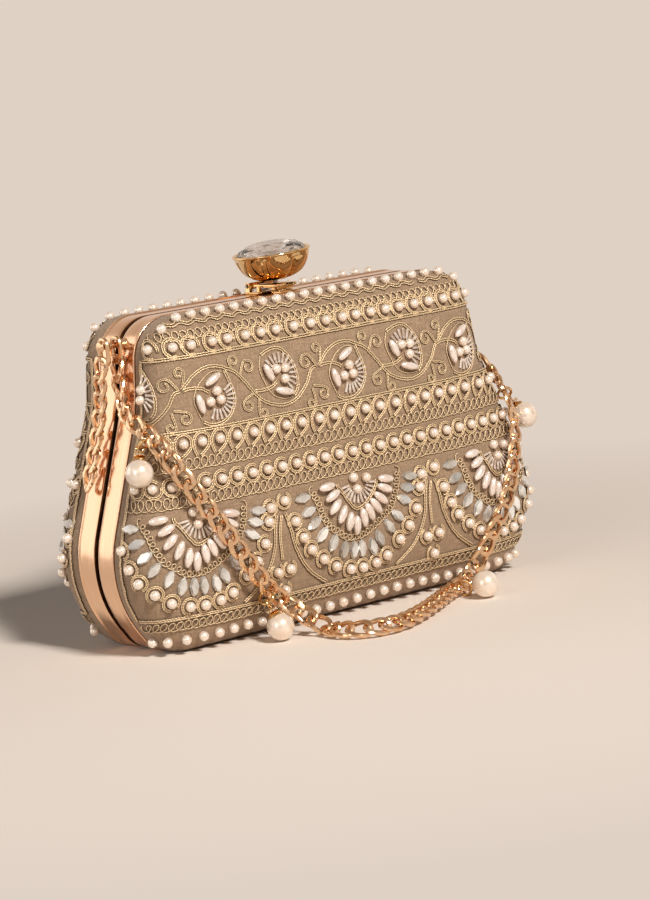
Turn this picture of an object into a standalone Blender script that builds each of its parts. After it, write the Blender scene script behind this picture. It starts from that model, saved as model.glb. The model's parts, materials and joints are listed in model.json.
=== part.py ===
"""Beaded box clutch: two shells in a metal frame, hinged along the base, with a crystal
knob clasp and a curb chain handle that carries four pearl charms.

Metres, +Z up. X runs along the bag and the front faces -Y. The world's origin is the middle
of the back band's underside. Shapes are drawn in the seam's own axes, where the seam
between the two halves is the plane Y = 0 and the base stands on Z = 0.
"""
import math

import bmesh
import bpy
from mathutils import Matrix, Vector
from mathutils.bvhtree import BVHTree

# Outline of the frame, seen from the front
HEIGHT = 0.132
TOP_HALF_WIDTH = 0.0805
WAIST_HALF_WIDTH = 0.0841
WAIST_HEIGHT = 0.0977
BELLY_HALF_WIDTH = 0.1082
BELLY_HEIGHT = 0.0285
BASE_HALF_WIDTH = 0.0882
TOP_CORNER_RADIUS = 0.017
WAIST_RADIUS = 0.057
BELLY_RADIUS = 0.0435
BASE_CORNER_RADIUS = 0.014

# Bulge of each half, measured from the frame's outer edge
TOP_BULGE = 0.0196
BELLY_BULGE = 0.026
BASE_BULGE = 0.0222
BULGE_HEIGHT = 0.0404
DOME_CENTRE_HEIGHT = 0.0566
DOME_SQUARENESS = 4.0
DOME_ANGLES = (75, 58, 40, 20)
INNER_ANGLES = (58, 24)

# Frame bands and the layers that they hold
SEAM_GAP = 0.0028
BAND_WIDTH = 0.0111
FRAME_WALL = 0.0014
FLANGE_THICKNESS = 0.0012
FLANGE_REACH = 0.0054
LIP_HEIGHT = 0.0005
LIP_WIDTH = 0.0012
COVER_GAP = 0.0005
COVER_THICKNESS = 0.0014
SHELL_THICKNESS = 0.0016
LINING_GAP = 0.0009
LINING_THICKNESS = 0.0006
CLEARANCE = 0.0003

# Hinge along the base
KNUCKLE_COUNT = 5
KNUCKLE_LENGTH = 0.016
KNUCKLE_RADIUS = 0.0019
HINGE_HEIGHT = 0.0022
HINGE_PIN_RADIUS = 0.0009

# Beads sewn on the covers
PEARL_RADIUS = 0.0025
PEARL_RISE = 0.0025
BEAD_ROOT = 0.00085
BEAD_SIDES = 4
BEAD_TAPER = 0.75
PEARL_ROW_HEIGHTS = (0.1205, 0.082, 0.067, 0.0085)
PEARL_ROW_COUNTS = (20, 22, 23, 22)
PEARL_ROW_SHARES = (0.955, 0.93, 0.93, 0.95)
EDGE_ROW_PEARLS = 21
EDGE_ROW_HALF_WIDTH = 0.064
EDGE_ROW_OFFSET = 0.0065
FAN_SPACING = 0.078
FAN_HEIGHT = 0.0535
FAN_STONES = 9
FAN_STONE_REACH = 0.0235
FAN_ARC_PEARLS = 7
FAN_ARC_REACH = 0.0335
STONE_LENGTH = 0.0085
STONE_WIDTH = 0.0045
STONE_RISE = 0.0016

# Clasp on the top of the frame
BASE_PLATE = (0.0170, 0.0096, 0.0008)
BASE_PLATE_CENTRE_Y = 0.0063
EAR_THICKNESS = 0.0014
EAR_LENGTH = 0.0026
CLAW_LENGTH = 0.0016
CLAW_HEIGHT = 0.0024
CLASP_AXIS_Y = 0.0098
CLASP_AXIS_RISE = 0.0034
CLASP_PIN_RADIUS = 0.0006
LEVER_HALF_WIDTH = 0.0058
LEVER_THICKNESS = 0.0011
LEVER_BARREL_RADIUS = 0.0014
LEVER_DROP = 0.0006
SPRING_THICKNESS = 0.0003
LEVER_TIP_Y = -0.0068
LEVER_NOSE_LENGTH = 0.0012
LEVER_NOSE_DROP = 0.0009
CATCH_PLATE = (0.0100, 0.0064, 0.0007)
CATCH_RIDGE = 0.0005
KNOB_CENTRE_X = 0.0033
KNOB_CENTRE_Y = 0.0042
KNOB_LEAN = math.radians(-3.5)
CUP_RADIUS = 0.0164
CUP_FOOT_RADIUS = 0.0052
CUP_HEIGHT = 0.0119
CUP_RECESS = 0.0024
CUP_WALL = 0.0012
CUP_LOBES = 8
LOBE_DEPTH = 0.07
STONE_CROWN = 0.0034
STONE_TABLE_RADIUS = 0.0074
SCREW_RADIUS = 0.0010
SCREW_HEAD_RADIUS = 0.0019
SCREW_HEAD_HEIGHT = 0.0008

# Studs that carry the chain
STUD_Y = -0.0036
STUD_DROP = 0.009
STUD_SHANK_RADIUS = 0.0012
STUD_FOOT_RADIUS = 0.0020
STUD_FOOT_LENGTH = 0.0026
STUD_SHANK_LENGTH = 0.0086
STUD_HEAD_RADIUS = 0.0024
STUD_HEAD_LENGTH = 0.0011

# Curb chain
LINK_HALF_LENGTH = 0.0046
LINK_HALF_WIDTH = 0.0029
LINK_END_HALF_WIDTH = 0.0012
LINK_SHOULDER = 0.0030
LINK_WIRE_RADIUS = 0.00105
LINK_TWIST = math.radians(45)
JOINED_PITCH = 0.0075
WIDEST_PITCH = 0.00763
CHAIN_RUNS = 9
TURN_LENGTH = 0.019
LOOSE_GAP = 0.0006
SIDE_LIFT = 0.0033
FACE_LIFT = 0.0054
FLOOR_LIFT = 0.0034
TAIL_LINKS = 7

# The handle's way from the left stud to the right one. A side point is (side, depth, drop below
# the stud), a face point is (share of the half width, height), a floor point is (across, depth).
HANDLE_ROUTE = (
    ("side", -1, -0.0050, 0.0120),
    ("side", -1, -0.0070, 0.0200),
    ("side", -1, -0.0150, 0.0275),
    ("face", -0.972, 0.0866),
    ("face", -0.905, 0.0753),
    ("face", -0.811, 0.0636),
    ("face", -0.660, 0.0451),
    ("face", -0.532, 0.0256),
    ("face", -0.449, 0.0163),
    ("floor", -0.0362, -0.0560),
    ("floor", -0.0372, -0.0665),
    ("floor", -0.0325, -0.0765),
    ("floor", -0.0227, -0.0805),
    ("floor", -0.0116, -0.0785),
    ("floor", 0.0082, -0.0681),
    ("floor", 0.0323, -0.0523),
    ("floor", 0.0470, -0.0440),
    ("face", 0.620, 0.0118),
    ("face", 0.666, 0.0231),
    ("face", 0.748, 0.0361),
    ("face", 0.863, 0.0542),
    ("face", 0.918, 0.0627),
    ("face", 0.940, 0.0715),
    ("side", 1, -0.0210, 0.0400),
    ("side", 1, -0.0100, 0.0260),
    ("side", 1, -0.0050, 0.0120),
)

# The spare length that hangs from the left stud: depth, drop below the stud, lift off the band
TAIL_ROUTE = (
    (-0.0010, 0.0110, 0.0090),
    (0.0030, 0.0220, 0.0066),
    (0.0058, 0.0350, 0.0044),
    (0.0078, 0.0630, 0.0036),
)

# Pearl charms: the distance along the handle from the left stud, where each one hangs
CHARM_PLACES = (0.047, 0.128, 0.262, 0.364)
CHARM_TURN = math.radians(35)
CHARM_PEARL_RADIUS = 0.0056
CHARM_RING_RADIUS = 0.0030
CHARM_RING_WIRE = 0.0006
CHARM_LOOP_RADIUS = 0.0015
CHARM_LOOP_WIRE = 0.00045
CHARM_SHANK_RADIUS = 0.0005
RONDELLE_RADIUS = 0.0024
RONDELLE_HEIGHT = 0.0013
CAP_RADIUS = 0.0031
CAP_HEIGHT = 0.0014

FRONT = -1
BACK = 1
CLASP_AXIS = Vector((0.0, CLASP_AXIS_Y, HEIGHT + CLASP_AXIS_RISE))
STUD_HEIGHT = HEIGHT - STUD_DROP
SEAM_FACE = SEAM_GAP / 2
FRAME_EDGE = SEAM_FACE + BAND_WIDTH
COVER_RIM = FRAME_EDGE + COVER_GAP
SHELL_INSET = COVER_THICKNESS + CLEARANCE
LINING_INSET = SHELL_INSET + SHELL_THICKNESS + LINING_GAP


# Scene, collections and materials

def clear_scene():
    for item in list(bpy.data.objects):
        bpy.data.objects.remove(item, do_unlink=True)


clear_scene()
PARTS = bpy.data.collections.new("beaded_box_clutch")
CUTTERS = bpy.data.collections.new("cutters")
PIVOT_PLACES = {}
bpy.context.scene.collection.children.link(PARTS)
bpy.context.scene.collection.children.link(CUTTERS)


def make_material(name, colour, roughness, metallic=0.0):
    material = bpy.data.materials.new(name)
    material.use_nodes = True
    shader = material.node_tree.nodes["Principled BSDF"]
    shader.inputs["Base Color"].default_value = (*colour, 1.0)
    shader.inputs["Roughness"].default_value = roughness
    shader.inputs["Metallic"].default_value = metallic
    material.diffuse_color = (*colour, 1.0)
    return material


RAW_SILK = make_material("raw_silk", (0.45, 0.33, 0.22), 0.75)
BOARD = make_material("moulded_board", (0.30, 0.25, 0.20), 0.80)
SATIN = make_material("satin_lining", (0.62, 0.50, 0.36), 0.45)
ROSE_GOLD = make_material("rose_gold_plate", (0.83, 0.56, 0.37), 0.28, 1.0)
YELLOW_GOLD = make_material("yellow_gold_plate", (0.83, 0.55, 0.22), 0.20, 1.0)
STEEL = make_material("steel_wire", (0.55, 0.54, 0.52), 0.35, 1.0)
PEARL = make_material("glass_pearl", (0.87, 0.75, 0.66), 0.22)
CRYSTAL = make_material("cut_crystal", (0.85, 0.83, 0.84), 0.05)


def hang(item, pivot):
    """Parents an object, drawn in the seam's axes, to the empty of its joint."""
    item.parent = pivot
    item.matrix_parent_inverse = Matrix.Translation(-PIVOT_PLACES[pivot.name])


def add_pivot(name, position, carrier=None):
    """An empty on a joint's axis, which carries the pieces that the joint moves."""
    empty = bpy.data.objects.new(name, None)
    empty.empty_display_size = 0.01
    empty.location = position
    PARTS.objects.link(empty)
    PIVOT_PLACES[name] = Vector(position)
    if carrier:
        hang(empty, carrier)
    return empty


def place(name, mesh, material, pivot):
    """Adds a mesh to the scene as one named object."""
    item = bpy.data.objects.new(name, mesh)
    mesh.materials.clear()
    mesh.materials.append(material)
    PARTS.objects.link(item)
    hang(item, pivot)
    return item


def place_cutter(name, mesh):
    item = bpy.data.objects.new(name, mesh)
    CUTTERS.objects.link(item)
    item.hide_render = True
    item.display_type = "WIRE"
    return item


def mesh_of(name, bm, smooth_angle=None):
    """Turns a bmesh into a mesh, shaded smooth below the given angle."""
    mesh = bpy.data.meshes.new(name)
    bm.to_mesh(mesh)
    bm.free()
    if smooth_angle is not None:
        mesh.shade_smooth()
        mesh.set_sharp_from_angle(angle=math.radians(smooth_angle))
    return mesh


def cut(item, cutter, operation="DIFFERENCE"):
    cutter.parent = item.parent
    cutter.matrix_parent_inverse = item.matrix_parent_inverse
    modifier = item.modifiers.new(cutter.name, "BOOLEAN")
    modifier.operation = operation
    modifier.solver = "EXACT"
    modifier.object = cutter


def add_box(bm, low, high):
    """A box between two opposite corners."""
    size = [high[i] - low[i] for i in range(3)]
    middle = [(high[i] + low[i]) / 2 for i in range(3)]
    matrix = Matrix.Translation(middle) @ Matrix.Diagonal((*size, 1.0))
    bmesh.ops.create_cube(bm, size=1.0, matrix=matrix)


def add_rod(bm, start, end, radius, end_radius=None, segments=10):
    """A closed round rod or cone between two points."""
    start, end = Vector(start), Vector(end)
    along = end - start
    matrix = Matrix.Translation((start + end) / 2) @ along.to_track_quat("Z", "Y").to_matrix().to_4x4()
    bmesh.ops.create_cone(
        bm, cap_ends=True, segments=segments, radius1=radius,
        radius2=radius if end_radius is None else end_radius, depth=along.length, matrix=matrix)


def box_mesh(name, low, high):
    bm = bmesh.new()
    add_box(bm, low, high)
    return mesh_of(name, bm)


def rod_mesh(name, start, end, radius, end_radius=None, segments=10):
    bm = bmesh.new()
    add_rod(bm, start, end, radius, end_radius, segments)
    return mesh_of(name, bm, 40)


def turned(name, profile, material, pivot, matrix, steps):
    """Spins a profile of (radius, height), given top to bottom, around the matrix's Z axis."""
    bm = bmesh.new()
    points = [bm.verts.new((radius, 0.0, height)) for radius, height in profile]
    for upper, lower in zip(points, points[1:]):
        bm.edges.new((upper, lower))
    if profile[0][0] > 0.0:
        bm.edges.new((points[-1], points[0]))
    item = place(name, mesh_of(name, bm), material, pivot)
    item.matrix_basis = matrix
    screw = item.modifiers.new("turn", "SCREW")
    screw.steps = steps
    screw.render_steps = steps
    screw.use_merge_vertices = True
    screw.merge_threshold = 1e-6
    return item


def tube_mesh(name, points, radius, sides=4):
    """A closed ring of wire through the given points, as a mesh."""
    curve = bpy.data.curves.new(name, "CURVE")
    curve.dimensions = "3D"
    curve.bevel_depth = radius
    curve.bevel_resolution = (sides - 4) // 2
    spline = curve.splines.new("POLY")
    spline.points.add(len(points) - 1)
    for control, point in zip(spline.points, points):
        control.co = (*point, 1.0)
    spline.use_cyclic_u = True
    holder = bpy.data.objects.new(name, curve)
    CUTTERS.objects.link(holder)
    evaluated = holder.evaluated_get(bpy.context.evaluated_depsgraph_get())
    mesh = bpy.data.meshes.new_from_object(evaluated)
    bpy.data.objects.remove(holder)
    bpy.data.curves.remove(curve)
    bm = bmesh.new()
    bm.from_mesh(mesh)
    bpy.data.meshes.remove(mesh)
    bmesh.ops.recalc_face_normals(bm, faces=bm.faces)
    return mesh_of(name, bm, 60)


SEAM = add_pivot("seam", (0.0, 0.0, 0.0))
SEAM.location.y = -(SEAM_GAP + BAND_WIDTH) / 2
FRONT_HALF = add_pivot("lid_hinge", (0.0, 0.0, HINGE_HEIGHT), SEAM)
KNOB = add_pivot("knob_hinge", CLASP_AXIS, SEAM)
HANDLE = add_pivot("handle_swing", (0.0, STUD_Y, STUD_HEIGHT), FRONT_HALF)
TAIL = add_pivot("tail_swing", (0.0, STUD_Y, STUD_HEIGHT), FRONT_HALF)
HALVES = {FRONT: FRONT_HALF, BACK: SEAM}


# Outline of the frame

def fillet(before, corner, after, radius, steps):
    """Rounds a corner of the clockwise outline; gives (point, outward normal) pairs."""
    to_before = (before - corner).normalized()
    to_after = (after - corner).normalized()
    half_angle = to_before.angle(to_after) / 2
    centre = corner + (to_before + to_after).normalized() * radius / math.sin(half_angle)
    start = corner + to_before * radius / math.tan(half_angle) - centre
    end = corner + to_after * radius / math.tan(half_angle) - centre
    turn = math.atan2(start.x * end.y - start.y * end.x, start.dot(end))
    outward = 1 if turn < 0 else -1
    pairs = []
    for step in range(steps + 1):
        angle = turn * step / steps
        arm = Vector((
            start.x * math.cos(angle) - start.y * math.sin(angle),
            start.x * math.sin(angle) + start.y * math.cos(angle)))
        pairs.append((centre + arm, arm.normalized() * outward))
    return pairs


def frame_outline():
    corners = [
        (TOP_HALF_WIDTH, HEIGHT, TOP_CORNER_RADIUS, 3),
        (WAIST_HALF_WIDTH, WAIST_HEIGHT, WAIST_RADIUS, 2),
        (BELLY_HALF_WIDTH, BELLY_HEIGHT, BELLY_RADIUS, 3),
        (BASE_HALF_WIDTH, 0.0, BASE_CORNER_RADIUS, 2),
    ]
    right = [(Vector((x, z)), radius, steps) for x, z, radius, steps in corners]
    left = [(Vector((-x, z)), radius, steps) for x, z, radius, steps in reversed(corners)]
    ring = right + left
    pairs = []
    for index, (corner, radius, steps) in enumerate(ring):
        before = ring[index - 1][0]
        after = ring[(index + 1) % len(ring)][0]
        pairs += fillet(before, corner, after, radius, steps)
    return pairs


OUTLINE = frame_outline()


def inset_outline(inset):
    """The outline's points (x, z), moved inward by a distance."""
    return [point - normal * inset for point, normal in OUTLINE]


def half_width(height):
    """Half the frame's width at a height above the base."""
    points = [point for point, _ in OUTLINE]
    widest = 0.0
    for first, second in zip(points, points[1:] + points[:1]):
        low, high = sorted((first, second), key=lambda point: point.y)
        if low.y <= height <= high.y and high.y > low.y:
            share = (height - low.y) / (high.y - low.y)
            widest = max(widest, low.x + (high.x - low.x) * share)
    return widest


def bulge(height):
    """How far a half stands out from its frame at a height."""
    if height >= BULGE_HEIGHT:
        share = (height - BULGE_HEIGHT) / (HEIGHT - BULGE_HEIGHT)
        return BELLY_BULGE + (TOP_BULGE - BELLY_BULGE) * share
    share = (BULGE_HEIGHT - height) / BULGE_HEIGHT
    return BELLY_BULGE + (BASE_BULGE - BELLY_BULGE) * share ** 2


# Covers, shells and linings

def loft(bm, rings, closed=False):
    """Joins rings of points, each with the same number, into one skin of quads."""
    loops = [[bm.verts.new(point) for point in ring] for ring in rings]
    following = loops[1:] + loops[:1] if closed else loops[1:]
    for first, second in zip(loops, following):
        for index in range(len(first)):
            bm.faces.new((first[index - 1], first[index], second[index], second[index - 1]))
    return loops


def dome_surface(side, inset, angles, collar=None):
    """An open bulging sheet over the outline, from its rim, or from a collar inside the
    frame, to the middle of the face."""
    edge = inset_outline(inset)
    centre = Vector((0.0, DOME_CENTRE_HEIGHT))
    rings = []
    if collar is not None:
        rings.append([(point.x, side * collar, point.y) for point in edge])
    for angle in (90,) + tuple(angles):
        spread = math.sin(math.radians(angle)) ** (2 / DOME_SQUARENESS)
        rise = math.cos(math.radians(angle)) ** (2 / DOME_SQUARENESS) if angle < 90 else 0.0
        ring = [centre + (point - centre) * spread for point in edge]
        rings.append([
            (point.x, side * (COVER_RIM + (bulge(point.y) - inset) * rise), point.y)
            for point in ring])
    bm = bmesh.new()
    cap = bm.faces.new(loft(bm, rings)[-1])
    middle = bmesh.ops.poke(bm, faces=[cap])["verts"][0]
    middle.co.y = side * (COVER_RIM + bulge(DOME_CENTRE_HEIGHT) - inset)
    bmesh.ops.recalc_face_normals(bm, faces=bm.faces)
    bm.faces.ensure_lookup_table()
    if middle.link_faces[0].normal.y * side < 0:
        bmesh.ops.reverse_faces(bm, faces=bm.faces)
    return bm


def thicken(item, thickness):
    modifier = item.modifiers.new("wall", "SOLIDIFY")
    modifier.thickness = thickness
    modifier.offset = -1.0
    modifier.use_even_offset = True


def make_layer(name, side, inset, thickness, material):
    collar = SEAM_FACE + FLANGE_THICKNESS + CLEARANCE
    bm = dome_surface(side, inset, INNER_ANGLES, collar)
    thicken(place(name, mesh_of(name, bm, 50), material, HALVES[side]), thickness)


def seat(tree, origin, direction):
    """Where a ray meets the cover, and the cover's normal there."""
    location, normal, _, _ = tree.ray_cast(Vector(origin), Vector(direction))
    return location, normal


def face_seat(tree, side, across, height):
    return seat(tree, (across, side, height), (0.0, -side, 0.0))


def add_bead(bm, location, normal, radius, rise, stretch=(1.0, 1.0), heading=None, sides=BEAD_SIDES):
    """A low bead rooted in the cover: a tapered stud, stretched along its heading."""
    rotation = normal.to_track_quat("Z", "Y").to_matrix().to_4x4()
    if heading is not None:
        along = (heading - normal * heading.dot(normal)).normalized()
        across = normal.cross(along)
        rotation = Matrix((along, across, normal)).transposed().to_4x4()
    depth = rise + BEAD_ROOT
    middle = location + normal * (rise - BEAD_ROOT) / 2
    matrix = Matrix.Translation(middle) @ rotation @ Matrix.Diagonal((*stretch, 1.0, 1.0))
    bmesh.ops.create_cone(
        bm, cap_ends=True, segments=sides, radius1=radius, radius2=radius * BEAD_TAPER,
        depth=depth, matrix=matrix)


def add_pearl_rows(bm, tree, side):
    for height, count, share in zip(PEARL_ROW_HEIGHTS, PEARL_ROW_COUNTS, PEARL_ROW_SHARES):
        reach = half_width(height) * share
        for index in range(count):
            across = reach * (2 * index / (count - 1) - 1)
            add_bead(bm, *face_seat(tree, side, across, height), PEARL_RADIUS, PEARL_RISE)
    depth = side * (FRAME_EDGE + EDGE_ROW_OFFSET)
    for index in range(EDGE_ROW_PEARLS):
        across = EDGE_ROW_HALF_WIDTH * (2 * index / (EDGE_ROW_PEARLS - 1) - 1)
        location, normal = seat(tree, (across, depth, 2 * HEIGHT), (0.0, 0.0, -1.0))
        add_bead(bm, location, normal, PEARL_RADIUS, PEARL_RISE)


def add_fan(bm, tree, side, middle):
    """A half-round fan below its centre: leaf-shaped stones inside an arc of pearls."""
    for index in range(FAN_STONES):
        angle = math.pi * (index + 0.75) / (FAN_STONES + 0.5)
        heading = Vector((math.cos(angle), 0.0, -math.sin(angle)))
        foot = Vector((middle, 0.0, FAN_HEIGHT)) + heading * FAN_STONE_REACH
        if abs(foot.x) < half_width(foot.z) - STONE_LENGTH:
            location, normal = face_seat(tree, side, foot.x, foot.z)
            stretch = (STONE_LENGTH / STONE_WIDTH, 1.0)
            add_bead(bm, location, normal, STONE_WIDTH / 2, STONE_RISE, stretch, heading, 4)
    for index in range(FAN_ARC_PEARLS):
        angle = math.pi * (index + 0.5) / FAN_ARC_PEARLS
        across = middle + FAN_ARC_REACH * math.cos(angle)
        height = FAN_HEIGHT - FAN_ARC_REACH * math.sin(angle)
        if abs(across) < half_width(height) - 2 * PEARL_RADIUS:
            add_bead(bm, *face_seat(tree, side, across, height), PEARL_RADIUS, PEARL_RISE)


def make_cover(name, side):
    """The fabric cover of one half, with its rows of beads, and a tree to find its surface."""
    bm = dome_surface(side, 0.0, DOME_ANGLES)
    tree = BVHTree.FromBMesh(bm)
    cover = place(name, mesh_of(name, bm, 50), RAW_SILK, HALVES[side])
    thicken(cover, COVER_THICKNESS)
    beads = bmesh.new()
    add_pearl_rows(beads, tree, side)
    for middle in (-FAN_SPACING, 0.0, FAN_SPACING):
        add_fan(beads, tree, side, middle)
    cut(cover, place_cutter(name + "_beads", mesh_of(name + "_beads", beads)), "UNION")
    return tree


# Frame and hinge

def band_profile():
    """The frame's section as (inset, depth) points: band, raised lip and inner flange."""
    lip_start = FRAME_EDGE - LIP_WIDTH
    chamfer = LIP_HEIGHT / 2
    return [
        (0.0, SEAM_FACE),
        (0.0, lip_start),
        (-LIP_HEIGHT, lip_start + LIP_HEIGHT),
        (-LIP_HEIGHT, FRAME_EDGE - chamfer),
        (-chamfer, FRAME_EDGE),
        (FRAME_WALL, FRAME_EDGE),
        (FRAME_WALL, SEAM_FACE + FLANGE_THICKNESS),
        (FLANGE_REACH, SEAM_FACE + FLANGE_THICKNESS),
        (FLANGE_REACH, SEAM_FACE),
    ]


def knuckle_span(index, margin=0.0):
    start = (index - KNUCKLE_COUNT / 2) * KNUCKLE_LENGTH
    return start + CLEARANCE / 2 - margin, start + KNUCKLE_LENGTH - CLEARANCE / 2 + margin


def make_frame(name, side):
    """One band of the frame with its own hinge knuckles, notched for the other half's."""
    bm = bmesh.new()
    rings = [
        [(point.x, side * depth, max(point.y, 0.0)) for point in inset_outline(inset)]
        for inset, depth in band_profile()]
    loft(bm, rings, closed=True)
    bmesh.ops.recalc_face_normals(bm, faces=bm.faces)
    frame = place(name, mesh_of(name, bm, 35), ROSE_GOLD, HALVES[side])
    own = [index for index in range(KNUCKLE_COUNT) if index % 2 == (0 if side == BACK else 1)]
    knuckles = bmesh.new()
    notches = bmesh.new()
    notch_depth = max(KNUCKLE_RADIUS, SEAM_FACE + FLANGE_THICKNESS) + CLEARANCE
    for index in range(KNUCKLE_COUNT):
        if index in own:
            start, end = knuckle_span(index)
            add_rod(knuckles, (start, 0, HINGE_HEIGHT), (end, 0, HINGE_HEIGHT), KNUCKLE_RADIUS)
        else:
            start, end = knuckle_span(index, CLEARANCE)
            low = (start, min(0, side * notch_depth), -FRAME_WALL)
            high = (end, max(0, side * notch_depth), FLANGE_REACH + FRAME_WALL)
            add_box(notches, low, high)
    cut(frame, place_cutter(name + "_notches", mesh_of(name + "_notches", notches)))
    cut(frame, place_cutter(name + "_knuckles", mesh_of(name + "_knuckles", knuckles)), "UNION")
    reach = KNUCKLE_COUNT * KNUCKLE_LENGTH
    bore = rod_mesh(name + "_bore", (-reach, 0, HINGE_HEIGHT), (reach, 0, HINGE_HEIGHT),
                    HINGE_PIN_RADIUS + CLEARANCE)
    cut(frame, place_cutter(name + "_bore", bore))
    return frame


def make_hinge_pin():
    reach = KNUCKLE_COUNT * KNUCKLE_LENGTH / 2
    pin = rod_mesh("hinge_pin", (-reach, 0, 0), (reach, 0, 0), HINGE_PIN_RADIUS)
    place("hinge_pin", pin, STEEL, SEAM).location = (0, 0, HINGE_HEIGHT)


# Clasp

TOP_FACE = HEIGHT + CLEARANCE
PLATE_TOP = TOP_FACE + BASE_PLATE[2]
LEVER_BOTTOM = CLASP_AXIS.z - LEVER_DROP
LEVER_TOP = LEVER_BOTTOM + LEVER_THICKNESS
EAR_CENTRE = LEVER_HALF_WIDTH + CLEARANCE + EAR_THICKNESS / 2
PIN_BORE = CLASP_PIN_RADIUS + CLEARANCE


def add_pivot_bore(item, name):
    reach = EAR_CENTRE + 2 * EAR_THICKNESS
    bore = rod_mesh(name, (-reach, *CLASP_AXIS.yz), (reach, *CLASP_AXIS.yz), PIN_BORE, segments=8)
    cut(item, place_cutter(name, bore))


def make_clasp_base():
    """A plate on the back band with two ears for the pin and two small claws in front."""
    width, length, thickness = BASE_PLATE
    front = BASE_PLATE_CENTRE_Y - length / 2
    bm = bmesh.new()
    add_box(bm, (-width / 2, front, TOP_FACE), (width / 2, front + length, PLATE_TOP))
    base = place("clasp_base", mesh_of("clasp_base", bm), YELLOW_GOLD, SEAM)
    uprights = bmesh.new()
    ear_top = CLASP_AXIS.z + PIN_BORE + EAR_THICKNESS * 0.35
    root = TOP_FACE + thickness / 2
    for sign in (-1, 1):
        inner = sign * EAR_CENTRE - EAR_THICKNESS / 2
        outer = inner + EAR_THICKNESS
        add_box(uprights, (inner, CLASP_AXIS.y - EAR_LENGTH / 2, root),
                (outer, CLASP_AXIS.y + EAR_LENGTH / 2, ear_top))
        add_box(uprights, (inner, front + CLEARANCE, root),
                (outer, front + CLEARANCE + CLAW_LENGTH, PLATE_TOP + CLAW_HEIGHT))
    cut(base, place_cutter("clasp_uprights", mesh_of("clasp_uprights", uprights)), "UNION")
    add_pivot_bore(base, "clasp_base_bore")


def make_clasp_pin():
    reach = EAR_CENTRE + EAR_THICKNESS
    pin = rod_mesh("clasp_pin", (-reach, 0, 0), (reach, 0, 0), CLASP_PIN_RADIUS, segments=8)
    place("clasp_pin", pin, STEEL, SEAM).location = CLASP_AXIS


def make_clasp_spring():
    """A flat leaf between the base plate and the lever's barrel."""
    low = PLATE_TOP + CLEARANCE
    start = KNOB_CENTRE_Y + SCREW_HEAD_RADIUS + 2 * CLEARANCE
    end = BASE_PLATE_CENTRE_Y + BASE_PLATE[1] / 2 - CLEARANCE
    bm = bmesh.new()
    add_box(bm, (-LEVER_HALF_WIDTH / 2, start, low),
            (LEVER_HALF_WIDTH / 2, end, low + SPRING_THICKNESS))
    place("clasp_spring", mesh_of("clasp_spring", bm), STEEL, SEAM)


def make_lever():
    """The rocking lever: barrel on the pin, tongue over the seam and a nose on the catch."""
    bm = bmesh.new()
    add_box(bm, (-LEVER_HALF_WIDTH, LEVER_TIP_Y, LEVER_BOTTOM),
            (LEVER_HALF_WIDTH, CLASP_AXIS.y, LEVER_TOP))
    lever = place("knob_lever", mesh_of("knob_lever", bm), YELLOW_GOLD, KNOB)
    nose_low = (-LEVER_HALF_WIDTH * 0.7, LEVER_TIP_Y, LEVER_BOTTOM - LEVER_NOSE_DROP)
    nose_high = (LEVER_HALF_WIDTH * 0.7, LEVER_TIP_Y + LEVER_NOSE_LENGTH, LEVER_TOP - LEVER_THICKNESS / 2)
    nose = box_mesh("lever_nose", nose_low, nose_high)
    cut(lever, place_cutter("lever_nose", nose), "UNION")
    barrel = rod_mesh("lever_barrel", (-LEVER_HALF_WIDTH, *CLASP_AXIS.yz),
                      (LEVER_HALF_WIDTH, *CLASP_AXIS.yz), LEVER_BARREL_RADIUS)
    cut(lever, place_cutter("lever_barrel", barrel), "UNION")
    add_pivot_bore(lever, "lever_bore")
    hole = rod_mesh("lever_screw_hole",
                    (KNOB_CENTRE_X, KNOB_CENTRE_Y, LEVER_BOTTOM - LEVER_THICKNESS),
                    (KNOB_CENTRE_X, KNOB_CENTRE_Y, LEVER_TOP + LEVER_THICKNESS),
                    SCREW_RADIUS + 2 * CLEARANCE, segments=8)
    cut(lever, place_cutter("lever_screw_hole", hole))


def knob_matrix(height):
    """A place on the knob's own axis, which leans a little along the frame."""
    pivot = Vector((KNOB_CENTRE_X, KNOB_CENTRE_Y, LEVER_TOP))
    lean = Matrix.Rotation(KNOB_LEAN, 4, "Y")
    return Matrix.Translation(pivot) @ lean @ Matrix.Translation((0.0, 0.0, height))


CUP_BASE = CLEARANCE + CLASP_AXIS.z + LEVER_BARREL_RADIUS - LEVER_TOP
CUP_FLOOR = CUP_HEIGHT - CUP_RECESS


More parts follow.
